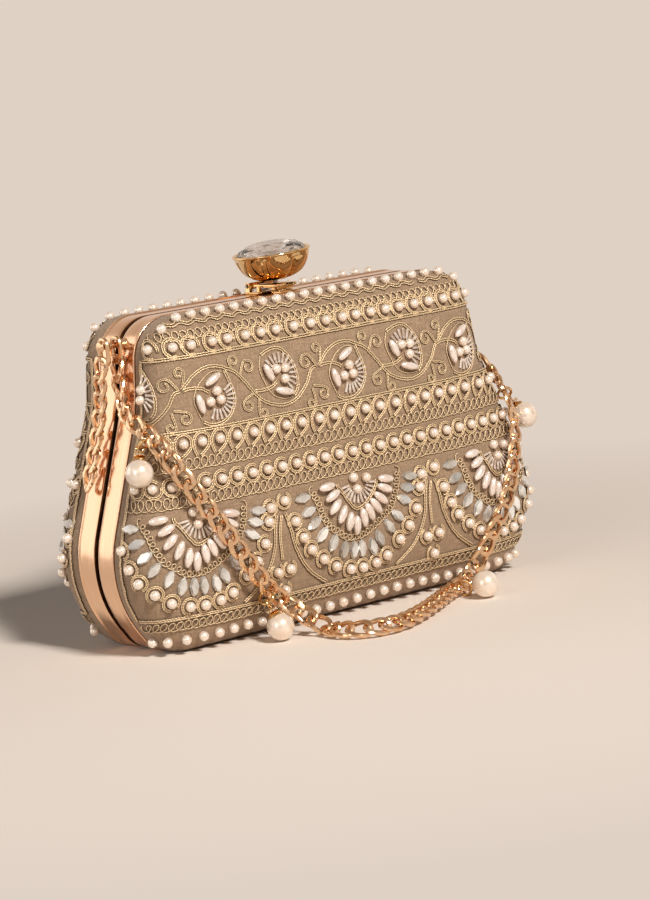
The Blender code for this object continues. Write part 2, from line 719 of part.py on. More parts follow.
def make_cup():
    """The fluted bowl: a turned form whose alternate ribs are drawn in, hollowed for the stone."""
    profile = [
        (0.0, 0.0), (CUP_FOOT_RADIUS, 0.0), (CUP_RADIUS * 0.66, CUP_HEIGHT * 0.15),
        (CUP_RADIUS * 0.88, CUP_HEIGHT * 0.46), (CUP_RADIUS, CUP_HEIGHT),
        (CUP_RADIUS - CUP_WALL, CUP_HEIGHT), (CUP_RADIUS - CUP_WALL, CUP_FLOOR), (0.0, CUP_FLOOR)]
    steps = 2 * CUP_LOBES
    bm = bmesh.new()
    verts = [bm.verts.new((radius, 0.0, height)) for radius, height in profile]
    edges = [bm.edges.new(pair) for pair in zip(verts, verts[1:])]
    bmesh.ops.spin(bm, geom=verts + edges, cent=(0, 0, 0), axis=(0, 0, 1),
                   angle=2 * math.pi, steps=steps, use_merge=True)
    bmesh.ops.remove_doubles(bm, verts=bm.verts, dist=1e-6)
    for vert in bm.verts:
        turn = math.atan2(vert.co.y, vert.co.x) / (2 * math.pi) * steps
        reach = math.hypot(vert.co.x, vert.co.y)
        outside = reach > CUP_FOOT_RADIUS * 1.01
        on_rim_wall = vert.co.z > CUP_FLOOR - 1e-6 and reach < CUP_RADIUS - CUP_WALL / 2
        if outside and not on_rim_wall and vert.co.z < CUP_HEIGHT - 1e-6 and round(turn) % 2:
            vert.co.x *= 1 - LOBE_DEPTH
            vert.co.y *= 1 - LOBE_DEPTH
    bmesh.ops.recalc_face_normals(bm, faces=bm.faces)
    cup = place("knob_cup", mesh_of("knob_cup", bm, 20), YELLOW_GOLD, KNOB)
    cup.matrix_basis = knob_matrix(CUP_BASE)
    hole = rod_mesh("cup_hole", (0, 0, -CUP_HEIGHT), (0, 0, CUP_HEIGHT / 2),
                    SCREW_RADIUS + CLEARANCE, segments=8)
    hole_cutter = place_cutter("cup_hole", hole)
    hole_cutter.matrix_basis = knob_matrix(CUP_BASE)
    cut(cup, hole_cutter)


def make_stone():
    """The cut crystal: a low crown over a short girdle that sits in the cup's recess."""
    girdle = CUP_RADIUS - CUP_WALL - 2 * CLEARANCE
    profile = [
        (0.0, CUP_RECESS + STONE_CROWN), (STONE_TABLE_RADIUS, CUP_RECESS + STONE_CROWN),
        (girdle * 0.8, CUP_RECESS + STONE_CROWN * 0.6), (girdle, CUP_RECESS),
        (girdle, 0.0), (0.0, 0.0)]
    matrix = knob_matrix(CUP_BASE + CUP_FLOOR + CLEARANCE)
    turned("knob_stone", profile, CRYSTAL, KNOB, matrix, 12)


def make_screw():
    """The screw that holds the cup, put in from under the lever."""
    head_top = -LEVER_THICKNESS - CLEARANCE - SCREW_HEAD_RADIUS * math.sin(abs(KNOB_LEAN))
    tip = CUP_BASE + CUP_HEIGHT / 2 - 2 * CLEARANCE
    profile = [
        (0.0, tip), (SCREW_RADIUS, tip), (SCREW_RADIUS, head_top), (SCREW_HEAD_RADIUS, head_top),
        (SCREW_HEAD_RADIUS, head_top - SCREW_HEAD_HEIGHT / 2), (0.0, head_top - SCREW_HEAD_HEIGHT / 2)]
    turned("knob_screw", profile, STEEL, KNOB, knob_matrix(0.0), 8)


def make_catch():
    """A plate on the front band with a low ridge that the lever's nose rides over."""
    width, length, thickness = CATCH_PLATE
    middle = LEVER_TIP_Y + LEVER_NOSE_LENGTH / 2
    bm = bmesh.new()
    add_box(bm, (-width / 2, middle - length / 2, TOP_FACE),
            (width / 2, middle + length / 2, TOP_FACE + thickness))
    catch = place("front_catch", mesh_of("front_catch", bm), YELLOW_GOLD, FRONT_HALF)
    ridge = box_mesh("catch_ridge", (-width / 3, middle - CATCH_RIDGE, TOP_FACE + thickness / 2),
                     (width / 3, middle + CATCH_RIDGE, TOP_FACE + thickness + CATCH_RIDGE))
    cut(catch, place_cutter("catch_ridge", ridge), "UNION")


# Chain studs

STUD_SEAT = half_width(STUD_HEIGHT)
STUD_FOOT_END = STUD_SEAT + STUD_FOOT_LENGTH
STUD_SHANK_END = STUD_FOOT_END + STUD_SHANK_LENGTH
HANDLE_RING_X = STUD_FOOT_END + CLEARANCE + LINK_WIRE_RADIUS
TAIL_RING_X = STUD_SHANK_END - CLEARANCE - LINK_WIRE_RADIUS


def make_stud(name, sign):
    """A headed stud whose foot is hollowed to sit on the frame's round shoulder."""
    profile = [
        (0.0, STUD_SHANK_END + STUD_HEAD_LENGTH), (STUD_HEAD_RADIUS * 0.8, STUD_SHANK_END + STUD_HEAD_LENGTH),
        (STUD_HEAD_RADIUS, STUD_SHANK_END), (STUD_SHANK_RADIUS, STUD_SHANK_END),
        (STUD_SHANK_RADIUS, STUD_FOOT_END), (STUD_FOOT_RADIUS, STUD_FOOT_END),
        (STUD_FOOT_RADIUS, STUD_SEAT - STUD_FOOT_LENGTH), (0.0, STUD_SEAT - STUD_FOOT_LENGTH)]
    turn = Matrix.Rotation(sign * math.pi / 2, 4, "Y")
    matrix = Matrix.Translation((0.0, STUD_Y, STUD_HEIGHT)) @ turn
    stud = turned(name, profile, ROSE_GOLD, FRONT_HALF, matrix, 10)
    saddle = bmesh.new()
    points = inset_outline(-CLEARANCE)
    front = [saddle.verts.new((point.x, -FRAME_EDGE, point.y)) for point in points]
    face = saddle.faces.new(front)
    lifted = bmesh.ops.extrude_face_region(saddle, geom=[face])["geom"]
    moved = [item for item in lifted if isinstance(item, bmesh.types.BMVert)]
    bmesh.ops.translate(saddle, verts=moved, vec=(0.0, 2 * FRAME_EDGE, 0.0))
    bmesh.ops.recalc_face_normals(saddle, faces=saddle.faces)
    cut(stud, place_cutter(name + "_saddle", mesh_of(name + "_saddle", saddle)))


# Chain

class Route:
    """A smooth path through its points, with the direction that each point faces."""

    def __init__(self, points, facings, steps=12):
        self.points = []
        self.facings = []
        ends = [2 * points[0] - points[1]] + points + [2 * points[-1] - points[-2]]
        for index in range(len(points) - 1):
            before, first, second, after = ends[index:index + 4]
            for step in range(steps):
                share = step / steps
                self.points.append(self.blend(before, first, second, after, share))
                self.facings.append(facings[index].lerp(facings[index + 1], share).normalized())
        self.points.append(points[-1])
        self.facings.append(facings[-1].normalized())
        self.facings = [self.smooth_facing(index) for index in range(len(self.points))]
        self.lengths = [0.0]
        for first, second in zip(self.points, self.points[1:]):
            self.lengths.append(self.lengths[-1] + (second - first).length)

    def smooth_facing(self, index):
        """The mean facing over a short length, so that neighbouring links turn gradually."""
        reach = [
            facing for point, facing in zip(self.points, self.facings)
            if (point - self.points[index]).length < TURN_LENGTH]
        return sum(reach, Vector()).normalized()

    @staticmethod
    def blend(before, first, second, after, share):
        """A point of the Catmull-Rom curve between the two middle points."""
        return 0.5 * (
            2 * first + (second - before) * share
            + (2 * before - 5 * first + 4 * second - after) * share ** 2
            + (3 * first - before - 3 * second + after) * share ** 3)

    def at(self, distance):
        index = 0
        while index < len(self.lengths) - 2 and self.lengths[index + 1] < distance:
            index += 1
        span = self.lengths[index + 1] - self.lengths[index]
        share = min(max((distance - self.lengths[index]) / span, 0.0), 1.0)
        point = self.points[index].lerp(self.points[index + 1], share)
        facing = self.facings[index].lerp(self.facings[index + 1], share)
        return point, facing

    def frame(self, distance):
        """Axes at a distance: along the chain, across it, and out of what it lies on."""
        point, facing = self.at(distance)
        ahead, _ = self.at(distance + LINK_HALF_LENGTH)
        behind, _ = self.at(distance - LINK_HALF_LENGTH)
        along = (ahead - behind).normalized()
        out = (facing - along * facing.dot(along)).normalized()
        across = out.cross(along)
        rotation = Matrix((along, across, out)).transposed().to_4x4()
        return Matrix.Translation((ahead + behind + 2 * point) / 4) @ rotation


def side_point(sign, depth, drop, lift):
    height = STUD_HEIGHT - drop
    return Vector((sign * (half_width(height) + lift), depth, height)), Vector((sign, 0.0, 0.0))


def handle_route(tree):
    eye = Vector((HANDLE_RING_X, STUD_Y, STUD_HEIGHT))
    points = [Vector((-eye.x, eye.y, eye.z))]
    facings = [Vector((-1.0, 0.0, 0.0))]
    for kind, *values in HANDLE_ROUTE:
        if kind == "side":
            lift = SIDE_LIFT if values[1] > -FRAME_EDGE else FACE_LIFT
            point, facing = side_point(*values, lift)
        elif kind == "face":
            share, height = values
            location, facing = face_seat(tree, FRONT, share * half_width(height), height)
            point = location + facing * FACE_LIFT
        else:
            point = Vector((*values, FLOOR_LIFT))
            facing = Vector((0.0, 0.0, 1.0))
        points.append(point)
        facings.append(facing)
    points.append(eye)
    facings.append(Vector((1.0, 0.0, 0.0)))
    return Route(points, facings)


def tail_route():
    points = [Vector((-TAIL_RING_X, STUD_Y, STUD_HEIGHT))]
    points += [side_point(-1, *place_on_side)[0] for place_on_side in TAIL_ROUTE]
    return Route(points, [Vector((-1.0, 0.0, 0.0))] * len(points))


def link_points(twist):
    """The middle line of one link, twisted along its length so that links lie flat."""
    quarter = [(LINK_HALF_LENGTH, LINK_END_HALF_WIDTH), (LINK_SHOULDER, LINK_HALF_WIDTH)]
    outline = quarter + [(-s, w) for s, w in reversed(quarter)]
    outline += [(s, -w) for s, w in reversed(outline)]
    points = []
    for along, across in outline:
        angle = twist * along / LINK_HALF_LENGTH
        points.append(Vector((along, across * math.cos(angle), across * math.sin(angle))))
    return points


CURB_LINK = tube_mesh("curb_link", link_points(LINK_TWIST), LINK_WIRE_RADIUS)
END_RING = tube_mesh("end_ring", link_points(0.0), LINK_WIRE_RADIUS)
RING_DROP = LINK_HALF_LENGTH - STUD_SHANK_RADIUS - CLEARANCE - LINK_WIRE_RADIUS
JOINED_OVERLAP = 2 * LINK_HALF_LENGTH - JOINED_PITCH
LOOSE_PITCH = 2 * LINK_HALF_LENGTH - 2 * LINK_WIRE_RADIUS - LOOSE_GAP
FIRST_LINK = RING_DROP + 2 * LINK_HALF_LENGTH - JOINED_OVERLAP


def end_ring_matrix(point):
    """The plain ring that hangs on a stud, in the plane across the stud."""
    axes = Matrix(((0, 0, -1), (0, 1, 0), (1, 0, 0))).transposed().to_4x4()
    return Matrix.Translation(point - Vector((0.0, 0.0, RING_DROP))) @ axes


def place_run(name, matrices, rings, pivot):
    """One length of chain: every other link in the part and the rest joined on by a union."""
    pieces = [(CURB_LINK, matrix) for matrix in matrices]
    pieces = [(END_RING, matrix) for matrix in rings[:1]] + pieces
    pieces += [(END_RING, matrix) for matrix in rings[1:]]
    sets = (bmesh.new(), bmesh.new())
    for index, (mesh, matrix) in enumerate(pieces):
        copy = mesh.copy()
        copy.transform(matrix)
        sets[index % 2].from_mesh(copy)
        bpy.data.meshes.remove(copy)
    run = place(name, mesh_of(name, sets[0], 60), ROSE_GOLD, pivot)
    if len(pieces) > 1:
        others = place_cutter(name + "_links", mesh_of(name + "_links", sets[1]))
        cut(run, others, "UNION")
    else:
        sets[1].free()
    return run


def handle_places(route):
    """Distances of the links along the handle, grouped into runs."""
    usable = route.lengths[-1] - 2 * FIRST_LINK
    loose_steps = CHAIN_RUNS - 1
    joined_steps = math.ceil((usable - loose_steps * LOOSE_PITCH) / WIDEST_PITCH)
    joined_pitch = (usable - loose_steps * LOOSE_PITCH) / joined_steps
    count = joined_steps + loose_steps + 1
    breaks = [round(count * run / CHAIN_RUNS) for run in range(CHAIN_RUNS + 1)]
    runs = []
    distance = FIRST_LINK
    for run in range(CHAIN_RUNS):
        places = []
        for index in range(breaks[run], breaks[run + 1]):
            if index:
                distance += LOOSE_PITCH if index == breaks[run] else joined_pitch
            places.append(distance)
        runs.append(places)
    return runs


def make_handle(route):
    runs = handle_places(route)
    for run, places in enumerate(runs):
        matrices = [route.frame(distance) for distance in places]
        rings = []
        if run == 0:
            rings = [end_ring_matrix(route.points[0])]
        name = f"handle_chain_{run + 1}"
        if run == CHAIN_RUNS - 1:
            matrices.reverse()
            rings = [end_ring_matrix(route.points[-1])]
        place_run(name, matrices, rings, HANDLE)
    return [distance for places in runs for distance in places]


def make_tail():
    route = tail_route()
    places = [FIRST_LINK + JOINED_PITCH * index for index in range(TAIL_LINKS)]
    matrices = [route.frame(distance) for distance in places]
    place_run("chain_tail", matrices, [end_ring_matrix(route.points[0])], TAIL)


# Pearl charms

LOOP_DROP = CHARM_LOOP_RADIUS - CHARM_LOOP_WIRE - CHARM_RING_WIRE
SHANK_START = CHARM_LOOP_RADIUS - CHARM_LOOP_WIRE / 2
RONDELLE_TOP = CHARM_LOOP_RADIUS + CHARM_LOOP_WIRE + CLEARANCE
CAP_TOP = RONDELLE_TOP + RONDELLE_HEIGHT + CLEARANCE
PEARL_CENTRE = CAP_TOP + CAP_HEIGHT + CLEARANCE + CHARM_PEARL_RADIUS * 0.86


def circle(radius, count):
    turns = [2 * math.pi * index / count for index in range(count)]
    return [Vector((radius * math.cos(turn), 0.0, radius * math.sin(turn))) for turn in turns]


def charm_turns(down, out, along):
    """The ways a charm may swing about its link, from hanging close to lying on the ground:
    pairs of the ring's direction from the link and the drop's direction from the ring."""
    for degrees in range(0, 90, 2):
        tilt = math.radians(degrees)
        hang = down * math.cos(tilt) + out * math.sin(tilt)
        facing = along.cross(hang)
        gravity = Vector((0.0, 0.0, -1.0))
        yield hang, (gravity - facing * gravity.dot(facing)).normalized()
    upward = Vector((0.0, 0.0, 1.0))
    heading = along.cross(upward).normalized()
    heading *= -1 if heading.y > 0 else 1
    for degrees in range(-80, 80, 2):
        pitch = math.radians(degrees)
        drop = heading * math.cos(pitch) + upward * math.sin(pitch)
        drop = (drop - along * drop.dot(along)).normalized()
        drop = drop * math.cos(CHARM_TURN) - along * math.sin(CHARM_TURN)
        yield (heading + upward).normalized(), drop


def charm_placing(link, tree):
    """Where a charm comes to rest, clear of the cover and the ground: the point on the link
    that it turns about, and the matrices of its ring and of its drop."""
    along, across, out = (link.to_3x3().col[index].normalized() for index in range(3))
    down = across if across.y + 2 * across.z < 0 else -across
    rail = link.translation + down * LINK_HALF_WIDTH
    slack = CHARM_RING_RADIUS - CHARM_RING_WIRE - LINK_WIRE_RADIUS - CLEARANCE
    for hang, drop in charm_turns(down, out, along):
        ring_centre = rail + hang * slack
        reach = (drop - along * drop.dot(along)).normalized()
        start = ring_centre + reach * CHARM_RING_RADIUS + drop * LOOP_DROP / 2
        pearl = start + drop * PEARL_CENTRE
        distance = tree.find_nearest(pearl)[3]
        clear_of_cover = distance > CHARM_PEARL_RADIUS + PEARL_RISE + CLEARANCE
        if clear_of_cover and pearl.z > CHARM_PEARL_RADIUS + CLEARANCE:
            break
    facing = along.cross(reach)
    ring_axes = Matrix((reach, along, reach.cross(along))).transposed().to_4x4()
    drop_axes = Matrix((facing.cross(-drop), facing, -drop)).transposed().to_4x4()
    ring_matrix = Matrix.Translation(ring_centre) @ ring_axes
    return rail, ring_matrix, Matrix.Translation(start) @ drop_axes


def make_charm(number, link, tree):
    name = f"charm_{number}"
    rail, ring_matrix, drop_matrix = charm_placing(link, tree)
    pivot = add_pivot(name + "_swing", rail, HANDLE)
    ring = tube_mesh(name + "_ring", circle(CHARM_RING_RADIUS, 10), CHARM_RING_WIRE)
    ring.transform(ring_matrix)
    place(name + "_ring", ring, YELLOW_GOLD, pivot)
    cap_profile = [
        (0.0, -SHANK_START), (CHARM_SHANK_RADIUS, -SHANK_START), (CHARM_SHANK_RADIUS, -CAP_TOP),
        (CAP_RADIUS * 0.6, -CAP_TOP), (CAP_RADIUS, -CAP_TOP - CAP_HEIGHT), (0.0, -CAP_TOP - CAP_HEIGHT)]
    cap = turned(name + "_cap", cap_profile, YELLOW_GOLD, pivot, drop_matrix, 8)
    loop = tube_mesh(name + "_loop", circle(CHARM_LOOP_RADIUS, 8), CHARM_LOOP_WIRE)
    loop_cutter = place_cutter(name + "_loop", loop)
    loop_cutter.matrix_basis = drop_matrix
    cut(cap, loop_cutter, "UNION")
    hole = CHARM_SHANK_RADIUS + CLEARANCE
    rondelle_profile = [
        (hole, -RONDELLE_TOP), (RONDELLE_RADIUS * 0.8, -RONDELLE_TOP),
        (RONDELLE_RADIUS, -RONDELLE_TOP - RONDELLE_HEIGHT / 2),
        (RONDELLE_RADIUS * 0.8, -RONDELLE_TOP - RONDELLE_HEIGHT),
        (hole, -RONDELLE_TOP - RONDELLE_HEIGHT)]
    turned(name + "_rondelle", rondelle_profile, CRYSTAL, pivot, drop_matrix, 8)
    bm = bmesh.new()
    bmesh.ops.create_icosphere(bm, subdivisions=2, radius=CHARM_PEARL_RADIUS)
    seat_height = CHARM_PEARL_RADIUS * 0.86
    cut_plane = bmesh.ops.bisect_plane(
        bm, geom=bm.verts[:] + bm.edges[:] + bm.faces[:], plane_co=(0, 0, seat_height),
        plane_no=(0, 0, 1), clear_outer=True)["geom_cut"]
    rim = [item for item in cut_plane if isinstance(item, bmesh.types.BMEdge)]
    bmesh.ops.contextual_create(bm, geom=rim)
    pearl = place(name + "_pearl", mesh_of(name + "_pearl", bm, 60), PEARL, pivot)
    pearl.matrix_basis = drop_matrix @ Matrix.Translation((0.0, 0.0, -PEARL_CENTRE))


def main():
    front_tree = make_cover("front_cover", FRONT)
    make_cover("back_cover", BACK)
    for half, side in (("front", FRONT), ("back", BACK)):
        make_layer(half + "_shell", side, SHELL_INSET, SHELL_THICKNESS, BOARD)
        make_layer(half + "_lining", side, LINING_INSET, LINING_THICKNESS, SATIN)
        make_frame(half + "_frame", side)
    make_hinge_pin()
    make_clasp_base()
    make_clasp_pin()
    make_clasp_spring()
    make_lever()
    make_cup()
    make_stone()
    make_screw()
    make_catch()
    make_stud("left_chain_stud", -1)
    make_stud("right_chain_stud", 1)
    route = handle_route(front_tree)
    places = make_handle(route)
    make_tail()
    for number, wanted in enumerate(CHARM_PLACES, start=1):
        distance = min(places, key=lambda place_along: abs(place_along - wanted))
        make_charm(number, route.frame(distance), front_tree)


main()
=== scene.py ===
# %% [markdown]
# # Beaded box clutch
# A hard-sided evening bag: two domed halves covered in raw silk, held in rose gold frame bands
# that hinge along the base. The silk is embroidered with gilt cord, pearls and glass. A faceted
# crystal in a fluted gold cup works the clasp, and a curb chain with pearl charms is the handle.
#
# The CAD model is loaded first. It fixes where every piece is, and the detailed pieces of this
# scene ride on its bodies, so that the lid, knob, chain and charms move with it.

# %% Load the frame
import bisect
import json
import math
import random

import bmesh
import bpy
from mathutils import Matrix, Vector


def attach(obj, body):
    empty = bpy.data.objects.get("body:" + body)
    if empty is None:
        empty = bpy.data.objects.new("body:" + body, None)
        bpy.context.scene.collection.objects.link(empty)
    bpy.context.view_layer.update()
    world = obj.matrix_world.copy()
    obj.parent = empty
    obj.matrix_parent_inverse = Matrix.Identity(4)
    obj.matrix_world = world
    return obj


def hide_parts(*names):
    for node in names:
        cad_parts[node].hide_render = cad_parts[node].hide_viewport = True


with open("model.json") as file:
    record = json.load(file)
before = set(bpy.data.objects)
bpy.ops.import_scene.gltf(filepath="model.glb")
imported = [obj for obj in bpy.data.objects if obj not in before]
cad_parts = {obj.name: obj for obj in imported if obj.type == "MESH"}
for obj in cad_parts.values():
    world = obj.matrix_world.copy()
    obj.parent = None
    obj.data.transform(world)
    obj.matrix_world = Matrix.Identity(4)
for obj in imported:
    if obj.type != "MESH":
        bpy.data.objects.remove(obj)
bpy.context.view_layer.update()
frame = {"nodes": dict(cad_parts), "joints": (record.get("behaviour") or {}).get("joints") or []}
MM = 0.001
SEAM_Y = next(j["pos_m"][1] for j in frame["joints"] if j["name"] == "lid_hinge")
print("seam plane at y =", round(SEAM_Y / MM, 2), "mm")

# %% [markdown]
# Everything below is drawn in the seam's own axes, where the two halves meet on the plane y = 0
# and the bag stands on z = 0. One function moves a finished bmesh to its place in the model,
# makes an object of it, and lets it ride on a body. The object itself stays at the origin.

# %% Turning a bmesh into a piece of the bag
def finish_mesh(name, bm):
    """Turns a bmesh into a mesh, and frees it."""
    mesh = bpy.data.meshes.new(name)
    bm.to_mesh(mesh)
    bm.free()
    return mesh


def link_object(name, data):
    """Makes an object of a mesh, lamp or camera, and links it to the scene."""
    item = bpy.data.objects.new(name, data)
    bpy.context.scene.collection.objects.link(item)
    return item


def add_piece(name, bm, material, body, slot, replaced=(), sharp=None):
    """Adds a mesh that was drawn in the seam's axes, as a piece that rides on a body."""
    bmesh.ops.translate(bm, verts=bm.verts, vec=(0.0, SEAM_Y, 0.0))
    mesh = finish_mesh(name, bm)
    if sharp is None or sharp > 0:
        mesh.shade_smooth()
    if sharp:
        mesh.set_sharp_from_angle(angle=math.radians(sharp))
    for each in material if isinstance(material, tuple) else (material,):
        mesh.materials.append(each)
    piece = link_object(name, mesh)
    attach(piece, body)
    if replaced:
        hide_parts(*replaced)
    return piece


def add_on_both(name, bm, material, slot, replaced=False, sharp=None):
    """Adds an ornament of the front half, and a copy turned half round for the back half."""
    back = bm.copy()
    turn = Matrix.Rotation(math.pi, 3, "Z")
    bmesh.ops.rotate(back, verts=back.verts, cent=(0, 0, 0), matrix=turn)
    pieces = []
    for half, mesh in (("front", bm), ("back", back)):
        nodes = (f"{half}_{name}",) if replaced else ()
        label = f"{half}_{name}_detail" if replaced else f"{half}_{name}"
        pieces.append(add_piece(label, mesh, material, half + "_half", slot, nodes, sharp))
    return pieces


# %% [markdown]
# ## Camera
# The photo looks down a little on the front, from well to the left, with a long lens. The angles
# and the outline's sizes below were fitted together by a separate script to points that were read
# off the photo by eye. The photo is tilted by six degrees.

# %% Camera
AZIMUTH, ELEVATION, ROLL = (math.radians(a) for a in (37.142, 7.968, -6.308))
TARGET = Vector((0.0, SEAM_Y, 66 * MM))
DISTANCE, SHIFT_RIGHT, SHIFT_UP = 1286.4 * MM, -12.78 * MM, -0.04 * MM
forward = Vector((
    math.sin(AZIMUTH) * math.cos(ELEVATION),
    math.cos(AZIMUTH) * math.cos(ELEVATION),
    -math.sin(ELEVATION)))
level = Vector((math.cos(AZIMUTH), -math.sin(AZIMUTH), 0.0))
upright = level.cross(forward)
right = level * math.cos(ROLL) + upright * math.sin(ROLL)
up = upright * math.cos(ROLL) - level * math.sin(ROLL)

camera_data = bpy.data.cameras.new("camera")
camera_data.sensor_fit = "VERTICAL"
camera_data.sensor_height = 36.0
camera_data.lens = 124.0
camera = link_object("camera", camera_data)
axes = Matrix((right, up, -forward)).transposed().to_4x4()
eye = TARGET - forward * DISTANCE - right * SHIFT_RIGHT - up * SHIFT_UP
camera.matrix_world = Matrix.Translation(eye) @ axes
bpy.context.scene.camera = camera
print("camera at", [round(c, 3) for c in eye], "lens", camera_data.lens)

# %% [markdown]
# ## Materials
# Two helpers serve every material: one turns an sRGB hex colour to the linear values that Blender
# mixes with, and one adds a node with its settings and links. The others are what several
# materials share: how they start, noise of a real size, roughness, bumps and paint.

# %% Helpers for materials
def linear(hex_colour):
    """An sRGB hex colour as linear red, green, blue and alpha."""
    channels = [int(hex_colour[i:i + 2], 16) / 255 for i in (1, 3, 5)]
    return (*(c / 12.92 if c <= 0.04045 else ((c + 0.055) / 1.055) ** 2.4 for c in channels), 1.0)


def add_node(material, kind, inputs=(), **settings):
    """Adds one node, with its settings, and fills or links its inputs."""
    new = material.node_tree.nodes.new(kind)
    for key, value in settings.items():
        setattr(new, key, value)
    for key, value in dict(inputs).items():
        if isinstance(value, bpy.types.NodeSocket):
            material.node_tree.links.new(value, new.inputs[key])
        else:
            new.inputs[key].default_value = value
    return new


def start_material(name, **sockets):
    """A new material and its Principled shader, with constants on the shader's sockets."""
    material = bpy.data.materials.new(name)
    material.use_nodes = True
    shader = material.node_tree.nodes["Principled BSDF"]
    for key, value in sockets.items():
        shader.inputs[key.replace("_", " ")].default_value = value
    return material, shader


def noise(material, coordinates, size_mm, stretch=(1, 1, 1), detail=3.0):
    """Noise whose lumps are about size_mm across, stretched along the axes."""
    scale = tuple(s / (size_mm * MM) for s in stretch)
    place = add_node(material, "ShaderNodeMapping", {"Vector": coordinates, "Scale": scale})
    inputs = {"Vector": place.outputs[0], "Scale": 1.0, "Detail": detail}
    return add_node(material, "ShaderNodeTexNoise", inputs).outputs["Fac"]


def roughen(material, shader, value, low, high):
    """Lets a value from 0 to 1 set the roughness between two limits."""
    inputs = {"Value": value, "To Min": low, "To Max": high}
    result = add_node(material, "ShaderNodeMapRange", inputs).outputs[0]
    material.node_tree.links.new(result, shader.inputs["Roughness"])


def raise_bumps(material, shader, height, depth_mm, strength=1.0):
    """Turns a height from 0 to 1 into a bump of a real depth."""
    inputs = {"Height": height, "Distance": depth_mm * MM, "Strength": strength}
    bump = add_node(material, "ShaderNodeBump", inputs)
    material.node_tree.links.new(bump.outputs[0], shader.inputs["Normal"])


def paint(material, shader, share, first, second):
    """Colours a surface from one hex colour to another, by a share from 0 to 1."""
    mixed = add_node(material, "ShaderNodeMix", {0: share, 6: linear(first), 7: linear(second)},
                     data_type="RGBA")
    material.node_tree.links.new(mixed.outputs[2], shader.inputs["Base Color"])


# %% [markdown]
# ### Raw silk
# Raw (tussah) silk is a plain weave of uneven threads: about two threads a millimetre, with
# slubs where a thread thickens. The weave is drawn on a UV map in metres that lies on the cloth,
# so that the threads follow the dome. It reads as a matt, warm grey-beige with a faint sheen.

# %% Raw silk
def weave(material, coordinates, spacing_mm, axis):
    """Threads as a wave across one direction of the cloth."""
    inputs = {"Vector": coordinates, "Scale": math.pi / (10 * spacing_mm * MM),
              "Distortion": 1.2, "Detail": 1.0, "Detail Scale": 0.3}
    return add_node(material, "ShaderNodeTexWave", inputs, bands_direction=axis).outputs["Fac"]


def make_cloth(name, dark, light, spacing_mm, slub_mm, depth_mm, **sockets):
    material, shader = start_material(name, **sockets)
    cloth = add_node(material, "ShaderNodeTexCoord").outputs["UV"]
    warp = weave(material, cloth, spacing_mm, "X")
    weft = weave(material, cloth, spacing_mm, "Y")
    threads = add_node(material, "ShaderNodeMath", {0: warp, 1: weft}, operation="MULTIPLY")
    slubs = noise(material, cloth, slub_mm, (1.0, 0.14, 1.0), 2.0)
    cross_slubs = noise(material, cloth, slub_mm, (0.14, 1.0, 1.0), 2.0)
    uneven = add_node(material, "ShaderNodeMath", {0: slubs, 1: cross_slubs}, operation="ADD")
    shade = add_node(material, "ShaderNodeMapRange", {
        "Value": uneven.outputs[0], "From Min": 0.75, "From Max": 1.25})
    total = add_node(material, "ShaderNodeMath", {
        0: shade.outputs[0], 1: 0.5, 2: threads.outputs[0]}, operation="MULTIPLY_ADD")
    even = add_node(material, "ShaderNodeMapRange", {
        "Value": total.outputs[0], "From Min": 0.1, "From Max": 1.25}).outputs[0]
    paint(material, shader, even, dark, light)
    raise_bumps(material, shader, even, depth_mm)
    return material


RAW_SILK = make_cloth(
    "raw_silk_plain_weave", "#896D54", "#BEA284", 0.5, 0.7, 0.12,
    Roughness=0.7, Sheen_Weight=0.2, Sheen_Roughness=0.4)
print("raw silk threads every 0.5 mm")

# %% [markdown]
# ### Satin lining
# Polyester satin has long floats of thread, so its weave hardly shows and it shines softly.

# %% Satin lining
SATIN = make_cloth(
    "polyester_satin_lining", "#B79A76", "#D3BA97", 0.25, 4.0, 0.03,
    Roughness=0.38, Sheen_Weight=0.35, Sheen_Roughness=0.3)

# %% [markdown]
# ### Gilt cord
# The embroidery is couched gimp: a cotton core wrapped in flat gilt metal thread. The wrap runs
# round the strand at an angle, so its ridges show as fine diagonal lines. Its colour also carries
# painted light along the top of each strand and painted shade at its foot, next to the cloth. Each
# strand carries a UV map with its length along u, in metres, and one turn round it along v.

# %% Gilt cord
def wave(material, phase):
    """The sine of a phase that counts whole turns."""
    angle = add_node(material, "ShaderNodeMath", {0: phase, 1: 2 * math.pi}, operation="MULTIPLY")
    return add_node(material, "ShaderNodeMath", {0: angle.outputs[0]}, operation="SINE").outputs[0]


def make_cord_material(name, dark, light, pitch_mm, **sockets):
    material, shader = start_material(name, **sockets)
    along = add_node(material, "ShaderNodeTexCoord").outputs["UV"]
    turned = add_node(
        material, "ShaderNodeMapping", {"Vector": along, "Scale": (1 / (pitch_mm * MM), 1.0, 1.0)})
    split = add_node(material, "ShaderNodeSeparateXYZ", {0: turned.outputs[0]})
    diagonal = add_node(
        material, "ShaderNodeMath", {0: split.outputs[0], 1: split.outputs[1]}, operation="ADD")
    ridge = wave(material, diagonal.outputs[0])
    # the sine of the turn round the strand: painted light along the top, painted shade at the foot
    painted_top_light = wave(material, split.outputs[1])
    twist_and_painted_light = add_node(
        material, "ShaderNodeMath", {0: ridge, 1: 0.3, 2: painted_top_light}, operation="MULTIPLY_ADD")
    painted_light_share = add_node(material, "ShaderNodeMapRange", {
        "Value": twist_and_painted_light.outputs[0], "From Min": -0.1, "From Max": 1.05})
    paint(material, shader, painted_light_share.outputs[0], dark, light)
    height = add_node(material, "ShaderNodeMapRange", {
        "Value": ridge, "From Min": -1.0, "From Max": 1.0})
    raise_bumps(material, shader, height.outputs[0], 0.08)
    return material


# the dark colour is painted shade at a strand's foot, and the light one is painted light along its top
GILT_CORD = make_cord_material(
    "gilt_metal_thread", "#48290F", "#EFD2A8", 1.2, Roughness=0.36, Metallic=0.3)
print("gilt wrap repeats every 1.2 mm")

